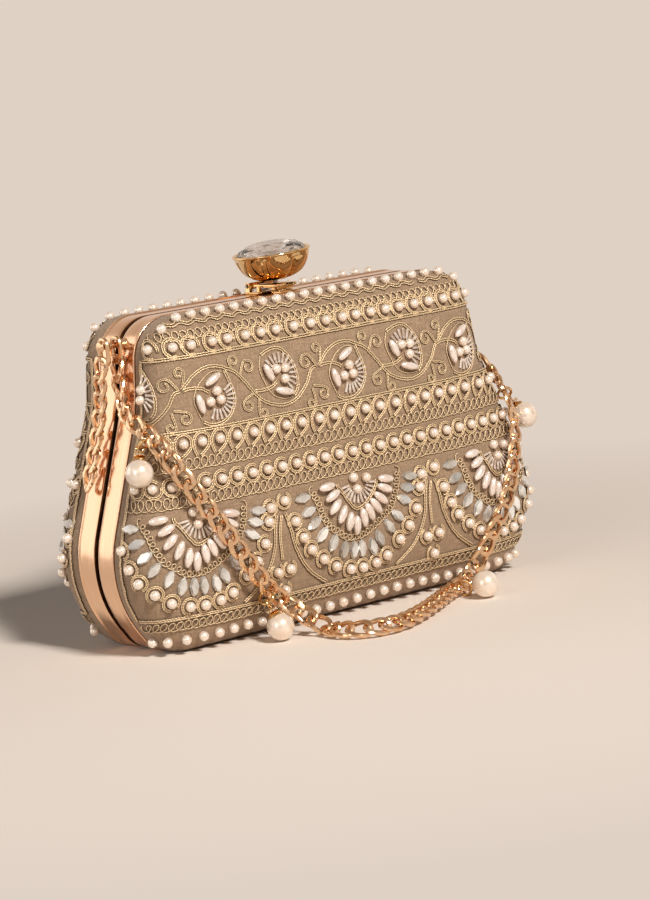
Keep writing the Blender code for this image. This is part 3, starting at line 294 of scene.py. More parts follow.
# %% [markdown]
# ### Pearls
# Glass pearls are dipped several times in pearl essence. Under the clear, shiny coat the colour
# drifts a little from cream to blush, over a few millimetres.

# %% Pearls
def make_pearl(name, cream, blush, drift_mm):
    material, shader = start_material(
        name, Roughness=0.25, Metallic=0.4, Coat_Weight=1.0, Coat_Roughness=0.08)
    place = add_node(material, "ShaderNodeTexCoord").outputs["Object"]
    drift = add_node(material, "ShaderNodeMapRange", {
        "Value": noise(material, place, drift_mm), "From Min": 0.35, "From Max": 0.65})
    paint(material, shader, drift.outputs[0], cream, blush)
    return material


PEARL = make_pearl("dipped_glass_pearl", "#FCF0E2", "#F4E0CC", 5.0)
RICE_PEARL = make_pearl("blush_glass_pearl", "#FDF1E7", "#EFDDD0", 4.0)

# %% [markdown]
# ### Glass and stones
# The bugles are short tubes of silver-lined glass, the leaf-shaped stones are foiled crystal, and
# the knob carries one large cut crystal. A foiled stone is modelled as a pale, half metallic
# surface under a clear coat. The big crystal is clear glass over a foil, which throws the light
# back up through it.

# %% Glass and stones
def make_glass_bead(name, dark, light, patch_mm, **sockets):
    material, shader = start_material(name, **sockets)
    place = add_node(material, "ShaderNodeTexCoord").outputs["Object"]
    tint = add_node(material, "ShaderNodeMapRange", {
        "Value": noise(material, place, patch_mm), "From Min": 0.35, "From Max": 0.65})
    paint(material, shader, tint.outputs[0], dark, light)
    return material


BUGLE = make_glass_bead(
    "silver_lined_glass", "#C9B29F", "#F3E9DF", 1.6, Roughness=0.16, Metallic=0.25,
    Coat_Weight=1.0, Coat_Roughness=0.03)
FOILED_STONE = make_glass_bead(
    "foiled_crystal", "#B9B2A8", "#FFFEFA", 12.0, Roughness=0.08, Metallic=0.45,
    Coat_Weight=1.0, Coat_Roughness=0.02)
FOIL = make_glass_bead("silver_foil", "#DDD2C7", "#FFFFFF", 2.5, Roughness=0.12, Metallic=1.0)
CRYSTAL = make_glass_bead(
    "lead_crystal", "#F4F2F2", "#FDFCFC", 4.0, Roughness=0.0, IOR=1.56, Transmission_Weight=1.0)

# %% [markdown]
# ### Plated metals
# The bands and chain are plated in light rose gold, the cup and charm fittings in yellow gold.
# Plating is a thin metal film: the tint is the metal's own, and only the roughness differs,
# from a satin brush on the bands to a mirror polish on the cup. Faint smudges and hairlines
# keep the reflections from looking perfect.

# %% Plated metals
def make_metal(name, dark, light, smooth, dull, grain=(1, 1, 1), grain_mm=6.0, bump_mm=0.0,
               map_name="Object"):
    material, shader = start_material(name, Metallic=1.0)
    place = add_node(material, "ShaderNodeTexCoord").outputs[map_name]
    patches = noise(material, place, grain_mm, grain, 4.0)
    smudge = add_node(material, "ShaderNodeMapRange", {
        "Value": patches, "From Min": 0.3, "From Max": 0.7}).outputs[0]
    paint(material, shader, smudge, dark, light)
    roughen(material, shader, smudge, smooth, dull)
    if bump_mm:
        raise_bumps(material, shader, smudge, bump_mm, 0.4)
    return material


SATIN_ROSE_GOLD = make_metal(
    "brushed_rose_gold_plate", "#E8B993", "#F7D3B2", 0.14, 0.24, (0.3, 26, 1), 6.0, 0.003, "UV")
POLISHED_ROSE_GOLD = make_metal(
    "polished_rose_gold_plate", "#E3B88F", "#F3D1AC", 0.14, 0.24)
YELLOW_GOLD = make_metal("polished_yellow_gold_plate", "#DFB47A", "#F0CE98", 0.05, 0.11)
STEEL = make_metal("drawn_steel_wire", "#9E9C99", "#BDBBB8", 0.25, 0.4, (1, 20, 20))
# Painted shade: a dark brown for the band's flange faces inside the gap between the halves.
GAP_SHADE_BRASS = make_metal("brass_painted_gap_shade", "#4E2E18", "#6B4428", 0.4, 0.6)

# %% [markdown]
# ### Pressed board
# The shells between silk and lining are pressed wood fibre. They are hidden, but still get a
# fibrous, matt surface.

# %% Pressed board
def make_board():
    material, shader = start_material("pressed_fibreboard", Roughness=0.85)
    place = add_node(material, "ShaderNodeTexCoord").outputs["Object"]
    fibres = noise(material, place, 1.5, (1, 4, 1), 6.0)
    paint(material, shader, fibres, "#6E5A44", "#A38B6C")
    raise_bumps(material, shader, fibres, 0.1)
    return material


BOARD = make_board()
for node_name, finish in (
        ("front_shell", BOARD), ("back_shell", BOARD), ("hinge_pin", STEEL),
        ("clasp_pin", STEEL), ("clasp_spring", STEEL), ("knob_screw", STEEL)):
    node = frame["nodes"][node_name]
    node.data.materials.clear()
    node.data.materials.append(finish)
print("materials:", len(bpy.data.materials))

# %% [markdown]
# ## The shape of a half
# Seen from the front, the frame is a rounded outline: narrow at the top, wide at the belly. Its
# corners are given with their radii, and each corner is rounded with a short arc.

# %% Outline of the frame
CORNERS = (
    (80.5, 132.0, 17.0), (84.1, 97.7, 57.0), (108.2, 28.5, 43.5), (88.2, 0.0, 14.0),
    (-88.2, 0.0, 14.0), (-108.2, 28.5, 43.5), (-84.1, 97.7, 57.0), (-80.5, 132.0, 17.0))
ARC_STEPS = 14


def round_corner(before, corner, after, radius):
    """Points and outward normals along the arc that rounds one corner."""
    back, ahead = (before - corner).normalized(), (after - corner).normalized()
    half = back.angle(ahead) / 2
    centre = corner + (back + ahead).normalized() * radius / math.sin(half)
    first = (corner + back * radius / math.tan(half) - centre).normalized()
    last = (corner + ahead * radius / math.tan(half) - centre).normalized()
    arms = [first.slerp(last, step / ARC_STEPS) for step in range(ARC_STEPS + 1)]
    bends_in = (corner - before).cross(after - corner) > 0
    return [(centre + arm * radius, -arm if bends_in else arm) for arm in arms]


def frame_outline(spacing=4.0):
    """(point, outward normal) pairs round the outline in mm, with straights divided too."""
    places = [Vector((x, z)) for x, z, _ in CORNERS]
    pairs = []
    for index, (_, _, radius) in enumerate(CORNERS):
        following = (index + 1) % len(CORNERS)
        arc = round_corner(places[index - 1], places[index], places[following], radius)
        if pairs:
            pairs += divide(pairs[-1], arc[0], spacing)
        pairs += arc
    return pairs + divide(pairs[-1], pairs[0], spacing)


def divide(start, end, spacing):
    count = int((end[0] - start[0]).length / spacing)
    shares = [step / (count + 1) for step in range(1, count + 1)]
    return [(start[0].lerp(end[0], s), start[1].slerp(end[1], s)) for s in shares]


OUTLINE = frame_outline()
print("outline:", len(OUTLINE), "points,", round(max(p.x for p, _ in OUTLINE) * 2, 1), "mm wide")

# %% [markdown]
# Each half bulges from the outer edge of its band like a pillow with flat cheeks: a superellipse
# of power four. The same formula gives the depth of the cloth at any place on the front, which
# the embroidery needs later.

# %% Depth of the dome
SEAM_FACE, FRAME_EDGE, COVER_RIM = 1.4, 12.5, 13.0
DOME_CENTRE = Vector((0.0, 56.6))
TOP_BULGE, BELLY_BULGE, BASE_BULGE, BULGE_HEIGHT = 19.6, 26.0, 22.2, 40.4
POWER = 4.0


def bulge(height):
    """How far a half stands out from its frame at a height, in mm."""
    if height >= BULGE_HEIGHT:
        share = (height - BULGE_HEIGHT) / (CORNERS[0][1] - BULGE_HEIGHT)
        return BELLY_BULGE + (TOP_BULGE - BELLY_BULGE) * share
    share = (BULGE_HEIGHT - height) / BULGE_HEIGHT
    return BELLY_BULGE + (BASE_BULGE - BELLY_BULGE) * share ** 2


REACHES = sorted(
    (math.atan2(p.y - DOME_CENTRE.y, p.x), (p - DOME_CENTRE).length) for p, _ in OUTLINE)
REACHES = ([(a - 2 * math.pi, r) for a, r in REACHES[-2:]] + REACHES
           + [(a + 2 * math.pi, r) for a, r in REACHES[:2]])
REACH_ANGLES = [angle for angle, _ in REACHES]


def reach(angle):
    """Distance from the dome's centre to the outline in a direction."""
    index = bisect.bisect(REACH_ANGLES, angle)
    (a0, r0), (a1, r1) = REACHES[index - 1], REACHES[index]
    return r0 + (r1 - r0) * (angle - a0) / (a1 - a0)


def depth(across, height):
    """How far the cloth stands in front of the seam at a place on the front, in mm."""
    arm = Vector((across, height)) - DOME_CENTRE
    spread = min(arm.length / reach(math.atan2(arm.y, arm.x)), 1.0)
    return COVER_RIM + bulge(height) * (1 - spread ** POWER) ** (1 / POWER)


print("cloth stands out", round(depth(0, 56.6), 1), "mm from the seam at its middle")

# %% [markdown]
# ## Drawing with a grid
# Most of the bag is made of skins that follow a path: the dome, the frame's section, and every
# strand of cord. All of these start as a flat grid. Each vertex knows its column and row, a
# function says where that column and row belong, and the edges that meet are merged. The grid's
# own UV map is kept, and stretched to metres, so that weave and twist keep their real scale.

# %% Grid skins
def wrap_grid(bm, columns, rows, place, flat=None, closed=False):
    """Adds a grid whose vertices move to place(column, row), and whose UVs become flat(column, row)."""
    uv = bm.loops.layers.uv.verify()
    verts = bmesh.ops.create_grid(bm, x_segments=columns, y_segments=rows, size=1.0)["verts"]
    steps = {v: (round((v.co.x + 1) / 2 * columns), round((v.co.y + 1) / 2 * rows)) for v in verts}
    faces = {face for v in verts for face in v.link_faces}
    if flat:
        for face in faces:
            for loop in face.loops:
                loop[uv].uv = flat(*steps[loop.vert])
    for v, (column, row) in steps.items():
        v.co = place(column, row)
    if closed:
        bmesh.ops.remove_doubles(bm, verts=verts, dist=1e-6)
        kept = [v for v in verts if v.is_valid]
        bmesh.ops.recalc_face_normals(bm, faces=list({f for v in kept for f in v.link_faces}))


# %% [markdown]
# ## Silk covers
# Real covers of this kind are silk stretched over a pressed shell and tucked under the frame. The
# cover is a single skin in rings from the rim to the middle, then given the cloth's thickness with
# Solidify. Its UV map unrolls each spoke of the dome to its real length, like a round flat pattern.

# %% Covers and their flat size
COVER_RINGS = 36
COVER_WALL = 1.4


def ring_share(step, count):
    """Where a ring lies from the middle (0, at the crown) to the rim (1), dense at the rim."""
    tilt = step / count
    tilt = tilt ** 2 / (tilt ** 2 + (1 - tilt) ** 2)
    angle = math.radians(90 * tilt)
    return math.sin(angle) ** (2 / POWER), max(math.cos(angle), 0.0) ** (2 / POWER)


def inset_outline(inset):
    return [p - n * inset for p, n in OUTLINE]


def dome_place(edge, inset, column, row, count):
    """A place on a dome over an edge, in the seam's axes of the front half, in metres."""
    spread, rise = ring_share(row, count)
    spot = DOME_CENTRE + (edge[column % len(edge)] - DOME_CENTRE) * spread
    return Vector((spot.x, -(COVER_RIM + (bulge(spot.y) - inset) * rise), spot.y)) * MM


def add_dome(bm, inset, rings, collar):
    """Adds the skin of one half; returns its flat width, length and area in metres."""
    edge = inset_outline(inset)
    spokes = len(edge)
    extra = 0 if collar is None else 1
    lengths = []
    for column in range(spokes + 1):
        along, last = [0.0], dome_place(edge, inset, column, 0, rings)
        for row in range(1, rings + 1):
            here = dome_place(edge, inset, column, row, rings)
            along.append(along[-1] + (here - last).length)
            last = here
        lengths.append(along + [along[-1] + (COVER_RIM - (collar or 0)) * MM] * extra)

    def place(column, row):
        if row > rings:
            rim = edge[column % spokes]
            return Vector((rim.x, -collar, rim.y)) * MM
        return dome_place(edge, inset, column, row, rings)

    def flat(column, row):
        arm = (edge[column % spokes] - DOME_CENTRE).normalized()
        return arm * lengths[column][row]

    wrap_grid(bm, spokes, rings + extra, place, flat, closed=True)
    corners = [flat(column, rings + extra) for column in range(spokes)]
    width, length = (max(c[k] for c in corners) - min(c[k] for c in corners) for k in (0, 1))
    area = sum(abs(a.cross(b)) / 2 for a, b in zip(corners, corners[1:] + corners[:1]))
    return width, length, area


def add_cloth_half(name, inset, wall, material, slot, collar=None):
    """Makes the same stretched cloth for both halves, with its thickness and its flat size."""
    bm = bmesh.new()
    width, length, area = add_dome(bm, inset, COVER_RINGS, collar)
    bm.normal_update()
    middle = max(bm.faces, key=lambda face: -face.calc_center_median().y)
    if middle.normal.y > 0:
        bmesh.ops.reverse_faces(bm, faces=bm.faces)
    for piece in add_on_both(name, bm, material, slot, replaced=True):
        solid = piece.modifiers.new("thickness", "SOLIDIFY")
        solid.thickness = wall * MM
        solid.offset = -1.0
        print(piece.name, "is cut to", round(width, 3), "x", round(length, 3), "m")


add_cloth_half("cover", 0.0, COVER_WALL, RAW_SILK, "raw_silk")

# %% [markdown]
# ## Lining
# The lining is the same form a few millimetres further in, in thin satin, with a straight collar
# that is glued inside the frame. It shows when the lid is open.

# %% Satin linings
LINING_INSET, LINING_WALL, LINING_COLLAR = 4.2, 0.6, 2.9
add_cloth_half("lining", LINING_INSET, LINING_WALL, SATIN, "satin_lining", LINING_COLLAR)

# %% [markdown]
# ## Frame bands
# Each band is a strip of brass, rolled with a raised lip at its outer edge and an inner flange,
# bent round and soldered, then brushed and plated. Its section is drawn once and swept round the
# outline as a grid closed both ways. A small bevel on every sharp edge catches the light. The
# flange faces inside the gap take a second, dark material: painted shade for the gap between the halves.

# %% Band section and sweep
LIP, LIP_WIDTH, WALL, FLANGE, FLANGE_REACH = 0.5, 1.2, 1.4, 1.2, 5.4
SECTION = (
    (0.0, SEAM_FACE), (-0.10, 3.6), (-0.14, 6.2), (-0.10, 8.8), (0.0, FRAME_EDGE - LIP_WIDTH),
    (-LIP, FRAME_EDGE - LIP_WIDTH + 0.35), (-LIP, FRAME_EDGE - 0.25), (-0.25, FRAME_EDGE),
    (WALL, FRAME_EDGE), (WALL, SEAM_FACE + FLANGE), (FLANGE_REACH, SEAM_FACE + FLANGE),
    (FLANGE_REACH, SEAM_FACE))


def soften(bm, width_mm, segments=2, sharper_than=28):
    """Bevels every edge that is sharper than an angle in degrees."""
    edges = [e for e in bm.edges
             if len(e.link_faces) == 2 and e.calc_face_angle() > math.radians(sharper_than)]
    bmesh.ops.bevel(bm, geom=edges, offset=width_mm * MM, offset_type="OFFSET",
                    segments=segments, profile=0.5, affect="EDGES", material=-1,
                    clamp_overlap=True)


def add_band(bm, side):
    loops = [inset_outline(inset) for inset, _ in SECTION]

    around = [0.0]
    for near, far in zip(loops[0], loops[0][1:] + loops[0][:1]):
        around.append(around[-1] + (far - near).length)

    def place(column, row):
        row %= len(SECTION)
        spot = loops[row][column % len(OUTLINE)]
        return Vector((spot.x, side * SECTION[row][1], max(spot.y, 0.0))) * MM

    def flat(column, row):
        inset, depth_in = SECTION[row % len(SECTION)]
        return around[column] * MM, (depth_in + inset) * MM

    wrap_grid(bm, len(OUTLINE), len(SECTION), place, flat, closed=True)
    soften(bm, 0.25)
    for face in bm.faces:
        flange = abs(face.calc_center_median().y) < (SEAM_FACE + FLANGE + 0.1) * MM
        # flange faces that look into the gap take the second material, which is painted shade
        face.material_index = int(flange and abs(face.normal.y) > 0.5)


# %% [markdown]
# The halves turn on five knuckles along the base. Odd ones belong to the front and even ones to
# the back, and each band is notched where the other half's knuckles turn. The notches are cut
# with a Boolean modifier, and a knuckle is a short tube, spun round the pin's axis.

# %% Knuckles and notches
KNUCKLES, KNUCKLE_LENGTH, KNUCKLE_RADIUS, PIN_HEIGHT, PIN_RADIUS = 5, 16.0, 1.9, 2.2, 1.2


def spin_profile(bm, points, steps, matrix):
    """Spins (radius, height) points round the Z axis of a matrix into a closed skin."""
    verts = [bm.verts.new(Vector((radius, 0.0, height)) * MM) for radius, height in points]
    for pair in zip(verts, verts[1:]):
        bm.edges.new(pair)
    edges = [e for v in verts for e in v.link_edges]
    bmesh.ops.spin(bm, geom=verts + list(set(edges)), cent=(0, 0, 0), axis=(0, 0, 1),
                   angle=2 * math.pi, steps=steps, use_merge=True)
    start = set(verts)
    around = {v for face in bm.faces if start & set(face.verts) for v in face.verts}
    grown = set()
    while len(around) > len(grown):
        grown = set(around)
        around |= {v for e in {e for v in grown for e in v.link_edges} for v in e.verts}
    bmesh.ops.remove_doubles(bm, verts=list(around), dist=1e-7)
    skin = [v for v in around if v.is_valid]
    bmesh.ops.recalc_face_normals(bm, faces=list({f for v in skin for f in v.link_faces}))
    bmesh.ops.transform(bm, matrix=matrix, verts=skin)


def add_knuckles(bm, first):
    """Adds every second knuckle as a tube along the pin."""
    lie = Matrix.Translation((0.0, 0.0, PIN_HEIGHT * MM)) @ Matrix.Rotation(math.pi / 2, 4, "Y")
    for index in range(first, KNUCKLES, 2):
        start = (index - KNUCKLES / 2) * KNUCKLE_LENGTH + 0.15
        end = start + KNUCKLE_LENGTH - 0.3
        ring = [(PIN_RADIUS, start), (KNUCKLE_RADIUS - 0.2, start), (KNUCKLE_RADIUS, start + 0.2),
                (KNUCKLE_RADIUS, end - 0.2), (KNUCKLE_RADIUS - 0.2, end), (PIN_RADIUS, end)]
        spin_profile(bm, ring + ring[:1], 20, lie)


def cut_notches(piece, first):
    """Cuts the room for the other half's knuckles out of a band, then drops the cutter."""
    bm = bmesh.new()
    depth_room = 2 * (SEAM_FACE + FLANGE + 0.3) * MM
    for index in range(first, KNUCKLES, 2):
        middle = (index - (KNUCKLES - 1) / 2) * KNUCKLE_LENGTH * MM
        size = Matrix.Diagonal((KNUCKLE_LENGTH * MM, depth_room, 8.2 * MM, 1.0))
        spot = Matrix.Translation((middle, SEAM_Y, 2.7 * MM))
        bmesh.ops.create_cube(bm, size=1.0, matrix=spot @ size)
    cutter = link_object("notches", finish_mesh("notches", bm))
    cutting = piece.modifiers.new("notches", "BOOLEAN")
    cutting.object = cutter
    cutting.solver = "EXACT"
    cut = bpy.data.meshes.new_from_object(
        piece.evaluated_get(bpy.context.evaluated_depsgraph_get()))
    piece.modifiers.clear()
    piece.data = cut
    bpy.data.objects.remove(cutter)
    return len(cut.polygons)


for half, side, own in (("front", -1, 1), ("back", 1, 0)):
    band = bmesh.new()
    add_band(band, side)
    frame_piece = add_piece(f"{half}_frame_band", band, (SATIN_ROSE_GOLD, GAP_SHADE_BRASS), half + "_half",
                            "rose_gold_plate", [half + "_frame"], sharp=32)
    faces = cut_notches(frame_piece, 1 - own)
    tubes = bmesh.new()
    add_knuckles(tubes, own)
    add_piece(f"{half}_hinge_knuckles", tubes, SATIN_ROSE_GOLD, half + "_half",
              "rose_gold_plate", sharp=32)
    print(half, "band:", faces, "faces")

# %% [markdown]
# ## Clasp
# The crystal is the head of a rocking lever. The lever turns on a pin between two ears of a base
# plate, and its nose rides over a ridge on the front band. These are small stamped plates whose
# form the CAD solids already have, so each piece is a copy of the solid, merged, cleaned of
# needless edges and bevelled.

# %% Clasp plates and lever
def add_softened(node_name, body, width_mm, material, slot):
    bm = bmesh.new()
    bm.from_mesh(frame["nodes"][node_name].data)
    bmesh.ops.remove_doubles(bm, verts=bm.verts, dist=1e-6)
    bmesh.ops.dissolve_limit(bm, angle_limit=math.radians(2), verts=bm.verts, edges=bm.edges)
    soften(bm, width_mm)
    bmesh.ops.translate(bm, verts=bm.verts, vec=(0.0, -SEAM_Y, 0.0))
    return add_piece(node_name + "_detail", bm, material, body, slot, [node_name], sharp=32)


for node_name, body in (
        ("clasp_base", "back_half"), ("knob_lever", "knob"), ("front_catch", "front_half")):
    plate = add_softened(node_name, body, 0.14, YELLOW_GOLD, "yellow_gold_plate")
    print(plate.name, len(plate.data.polygons), "faces")

# %% [markdown]
# ## Knob: cup and crystal
# The cup is a cast bowl: six broad, full panels with a narrow rib in the groove between
# neighbours, polished and plated, and a thin bright rim that holds the stone. The grid's columns
# go round the bowl, and its rows go up the outside, over the rim and down into the recess.

# %% Fluted cup
KNOB_LEAN, LEVER_TOP, KNOB_X, KNOB_Y, CUP_BASE = math.radians(-3.5), 135.9, 3.3, 4.2, 1.2
CUP_RADIUS, CUP_FOOT, CUP_RECESS = 16.4, 5.2, 2.4
LOBES, LOBE_COLUMNS, RIB_TURN = 6, 24, math.radians(35)
RIB_SHARE, GROOVE_DEPTH = 0.06, 1.8
KNOB_AXES = (Matrix.Translation(Vector((KNOB_X, KNOB_Y, LEVER_TOP)) * MM)
             @ Matrix.Rotation(KNOB_LEAN, 4, "Y") @ Matrix.Translation((0, 0, CUP_BASE * MM)))
CUP_SIDE = ((0.0, 0.0), (4.2, 0.0), (5.2, 0.1), (7.8, 0.7), (10.2, 1.6), (12.2, 2.9),
            (13.7, 4.6), (14.9, 6.7), (15.7, 8.8), (16.1, 10.6))
CUP_LIP = ((16.12, 11.0), (16.35, 11.2), (16.4, 11.6), (16.2, 11.85), (15.8, 11.9),
           (15.4, 11.7), (15.2, 11.0), (15.15, 9.6), (9.0, 6.4), (0.0, 4.9))


def rib_relief(share):
    """How deep the bowl is drawn in at a share of one lobe: a rib at both ends, full between."""
    away = min(share, 1 - share)
    if away < RIB_SHARE:
        return 0.45 + 0.55 * away / RIB_SHARE
    return 1.0 - math.sin(math.pi / 2 * (away - RIB_SHARE) / (0.5 - RIB_SHARE)) ** 0.5


def cup_place(column, row):
    profile = CUP_SIDE + CUP_LIP
    radius, height = profile[row]
    turn = 2 * math.pi * column / (LOBES * LOBE_COLUMNS) + RIB_TURN
    if row < len(CUP_SIDE):
        relief = rib_relief(column % LOBE_COLUMNS / LOBE_COLUMNS)
        relief *= min(max(radius - CUP_FOOT, 0) / 5.0, 1.0) * min(11.6 - height, 1.0)
        radius -= GROOVE_DEPTH * relief
    return Vector((radius * math.cos(turn), radius * math.sin(turn), height)) * MM


cup = bmesh.new()
wrap_grid(cup, LOBES * LOBE_COLUMNS, len(CUP_SIDE + CUP_LIP) - 1, cup_place, closed=True)
bmesh.ops.transform(cup, matrix=KNOB_AXES, verts=cup.verts)
add_piece("knob_cup_detail", cup, YELLOW_GOLD, "knob", "yellow_gold_plate", ["knob_cup"], sharp=50)
print("cup:", LOBES, "lobes,", 2 * CUP_RADIUS, "mm across")

# %% [markdown]
# The crystal is a low, many-sided cut: an eight-sided table, a ring of large kite facets, and a
# ring of small facets at the girdle. A convex hull over rings of points gives exactly such flat
# facets. Its underside is a shallow cone with foil behind it, which is the second material.

# %% Cut crystal
STONE_SEAT, GIRDLE, CROWN, TABLE = 9.8, 14.6, 3.4, 7.6
STONE_RINGS = (  # radius, height above the cup's seat, corners, turn in parts of a corner
    (TABLE, CUP_RECESS + CROWN, 8, 0.0), (11.0, CUP_RECESS + 0.72 * CROWN, 8, 0.5),
    (13.3, CUP_RECESS + 0.32 * CROWN, 16, 0.5), (GIRDLE, CUP_RECESS - 0.9, 32, 0.0),
    (GIRDLE, CUP_RECESS - 1.9, 32, 0.0), (9.2, -1.6, 16, 0.5), (3.4, -3.4, 8, 0.0))

stone = bmesh.new()
for radius, height, corners, turn in STONE_RINGS:
    angle = 2 * math.pi * turn / corners
    ring = Matrix.Translation((0, 0, height * MM)) @ Matrix.Rotation(angle, 4, "Z")
    bmesh.ops.create_circle(stone, segments=corners, radius=radius * MM, matrix=ring)
bmesh.ops.convex_hull(stone, input=stone.verts)
spare = {e for e in stone.edges if not e.link_faces}
bmesh.ops.delete(stone, geom=list(spare), context="EDGES")
bmesh.ops.dissolve_limit(stone, angle_limit=math.radians(1), verts=stone.verts,
                         edges=stone.edges)
bmesh.ops.recalc_face_normals(stone, faces=stone.faces)
for face in stone.faces:
    face.material_index = int(face.calc_center_median().z < (CUP_RECESS - 1.5) * MM)
seat = KNOB_AXES @ Matrix.Translation((0, 0, STONE_SEAT * MM))
bmesh.ops.transform(stone, matrix=seat, verts=stone.verts)
facets = len(stone.faces)
add_piece("knob_crystal", stone, (CRYSTAL, FOIL), "knob", "cut_crystal", ["knob_stone"], sharp=0)
print("crystal:", facets, "facets")

# %% [markdown]
# ## Placing embroidery on the dome
# Embroidery is worked flat and then stretched over the shell. So every motif is drawn flat, in
# millimetres: a runs along the cloth from the bag's middle, and z is the height. A table of the
# length of each horizontal section turns that into a place on the dome, and the slope of the
# depth formula gives the direction that faces out of the cloth.

# %% From flat cloth to the dome
LEVEL_STEP = 1.5


def half_width(height):
    """Half the outline's width at a height, by halving the interval."""
    low, high = 0.0, 120.0
    for _ in range(30):
        middle = (low + high) / 2
        arm = Vector((middle, height)) - DOME_CENTRE
        inside = arm.length < reach(math.atan2(arm.y, arm.x))
        low, high = (middle, high) if inside else (low, middle)
    return low


def section_lengths(height, count=72):
    """Places across, and the length of cloth from the middle to each of them, at a height."""
    width = half_width(height) - 1e-3
    places = [width * math.sin(math.pi / 2 * step / count) for step in range(count + 1)]
    lengths = [0.0]
    for near, far in zip(places, places[1:]):
        lengths.append(lengths[-1] + math.hypot(far - near, depth(far, height) - depth(near, height)))
    return lengths, places


SECTIONS = [section_lengths(1.0 + LEVEL_STEP * level) for level in range(87)]


def read_section(level, length):
    lengths, places = SECTIONS[level]
    index = min(max(bisect.bisect(lengths, length), 1), len(lengths) - 1)
    share = (length - lengths[index - 1]) / (lengths[index] - lengths[index - 1])
    return places[index - 1] + (places[index] - places[index - 1]) * min(share, 1.0)


def cloth_edge(height):
    """The length of cloth from the middle to the frame at a height."""
    level = min(max((height - 1.0) / LEVEL_STEP, 0.0), len(SECTIONS) - 1.001)
    return min(SECTIONS[int(level)][0][-1], SECTIONS[int(level) + 1][0][-1])


def cloth_place(a, z):
    """The point on the dome, the two directions in it and the one out of it."""
    level = min(max((z - 1.0) / LEVEL_STEP, 0.0), len(SECTIONS) - 1.001)
    below = int(level)
    length = min(abs(a), cloth_edge(z) - 0.4)
    near, far = read_section(below, length), read_section(below + 1, length)
    x = math.copysign(near + (far - near) * (level - below), a)
    return surface_frame(x, z)


def surface_frame(x, z, step=0.04):
    slope_x = (depth(x + step, z) - depth(x - step, z)) / (2 * step)
    slope_z = (depth(x, z + step) - depth(x, z - step)) / (2 * step)
    out = Vector((-slope_x, -1.0, -slope_z)).normalized()
    across = Vector((1.0, -slope_x, 0.0)).normalized()
    return Vector((x, -depth(x, z), z)), across, -across.cross(out).normalized(), out


def bead_matrix(place, lift, heading=0.0, size=(1.0, 1.0, 1.0)):
    """A matrix on the cloth: X along a heading in degrees, Z out of the cloth, in metres."""
    point, across, upward, out = place
    angle = math.radians(heading)
    ahead = across * math.cos(angle) + upward * math.sin(angle)
    axes = Matrix((ahead, out.cross(ahead), out)).transposed().to_4x4()
    return (Matrix.Translation((point + out * lift) * MM) @ axes
            @ Matrix.Diagonal((*(s * MM for s in size), 1.0)))


print("cloth from the middle to the frame:",
      {z: round(cloth_edge(z)) for z in (5, 20, 53, 83, 100, 120)}, "mm")

# %% [markdown]
# ## Couched cord
# A cord lies on the cloth and is held by stitches. Most lines are two strands side by side. A
# path is drawn with a few points, rounded with a Catmull-Rom curve, and each strand is a grid
# rolled round it. A little wander in the path keeps it from looking machine-made.

# %% Strands and double cords
random.seed(7)
STRAND_RADIUS, STRAND_SIDES, CORD_GAP, CORD_STEP = 0.35, 6, 0.43, 0.75
CORD_MARGIN, LOWEST_CORD, HIGHEST_CORD = 1.6, 1.5, 129.6


def catmull_rom(p0, p1, p2, p3, t):
    """A point between the two middle ones of four, on the smooth curve through all of them."""
    return 0.5 * (2 * p1 + (p2 - p0) * t + (2 * p0 - 5 * p1 + 4 * p2 - p3) * t ** 2
                  + (3 * p1 - p0 - 3 * p2 + p3) * t ** 3)


def smooth_path(points, step=CORD_STEP):
    """A Catmull-Rom curve through flat points, with a point about every step."""
    knots = [Vector(p) for p in points]
    count, path = len(knots), []
    for index in range(count - 1):
        four = [knots[min(max(index + k, 0), count - 1)] for k in (-1, 0, 1, 2)]
        parts = max(2, round((four[2] - four[1]).length / step))
        path += [catmull_rom(*four, part / parts) for part in range(parts)]
    return path + [knots[-1]]


def add_strand(bm, path, lifts, radius, offset=0.0):
    """Lays one strand on the cloth along flat points, with a lift for each point."""
    spots = []
    for index, (flat, lift) in enumerate(zip(path, lifts)):
        before = path[index - 1] if index else flat
        ahead = (path[min(index + 1, len(path) - 1)] - before).normalized()
        place = cloth_place(flat.x - ahead.y * offset, flat.y + ahead.x * offset)
        spots.append((place[0] + place[3] * lift, place[3]))
    lengths = [0.0]
    for (near, _), (far, _) in zip(spots, spots[1:]):
        lengths.append(lengths[-1] + (far - near).length)
    last = len(spots) - 1

    def place_round(column, row):
        point, out = spots[column]
        ahead = spots[min(column + 1, last)][0] - spots[max(column - 1, 0)][0]
        side = ahead.normalized().cross(out)
        swell = radius if 0 < column < last else 0.0
        turn = 2 * math.pi * row / STRAND_SIDES
        return (point + (side * math.cos(turn) + out * math.sin(turn)) * swell) * MM

    wrap_grid(bm, last, STRAND_SIDES, place_round,
              lambda column, row: (lengths[column] * MM, row / STRAND_SIDES))


def inside_cloth(path):
    """The parts of a path that lie on the cloth, as separate paths."""
    parts, current = [], []
    for point in path:
        if abs(point.x) < cloth_edge(point.y) - CORD_MARGIN and LOWEST_CORD < point.y < HIGHEST_CORD:
            current.append(point)
        else:
            parts.append(current)
            current = []
    return [part for part in parts + [current] if len(part) > 3]


def add_cord(bm, points, lift=0.5, gap=CORD_GAP, radius=STRAND_RADIUS):
    """Lays a double cord along flat points."""
    path = smooth_path(points)
    for index, point in enumerate(path):
        wander = 0.07 * math.sin(index * 0.9 + point.x) + random.uniform(-0.05, 0.05)
        path[index] = point + Vector((wander * 0.5, wander))
    for part in inside_cloth(path):
        for offset in (-gap, gap):
            add_strand(bm, part, [lift] * len(part), radius, offset)


def add_thread(bm, points, lift=0.3, radius=0.26):
    """Lays a single strand along flat points."""
    for part in inside_cloth(smooth_path(points)):
        add_strand(bm, part, [lift] * len(part), radius)


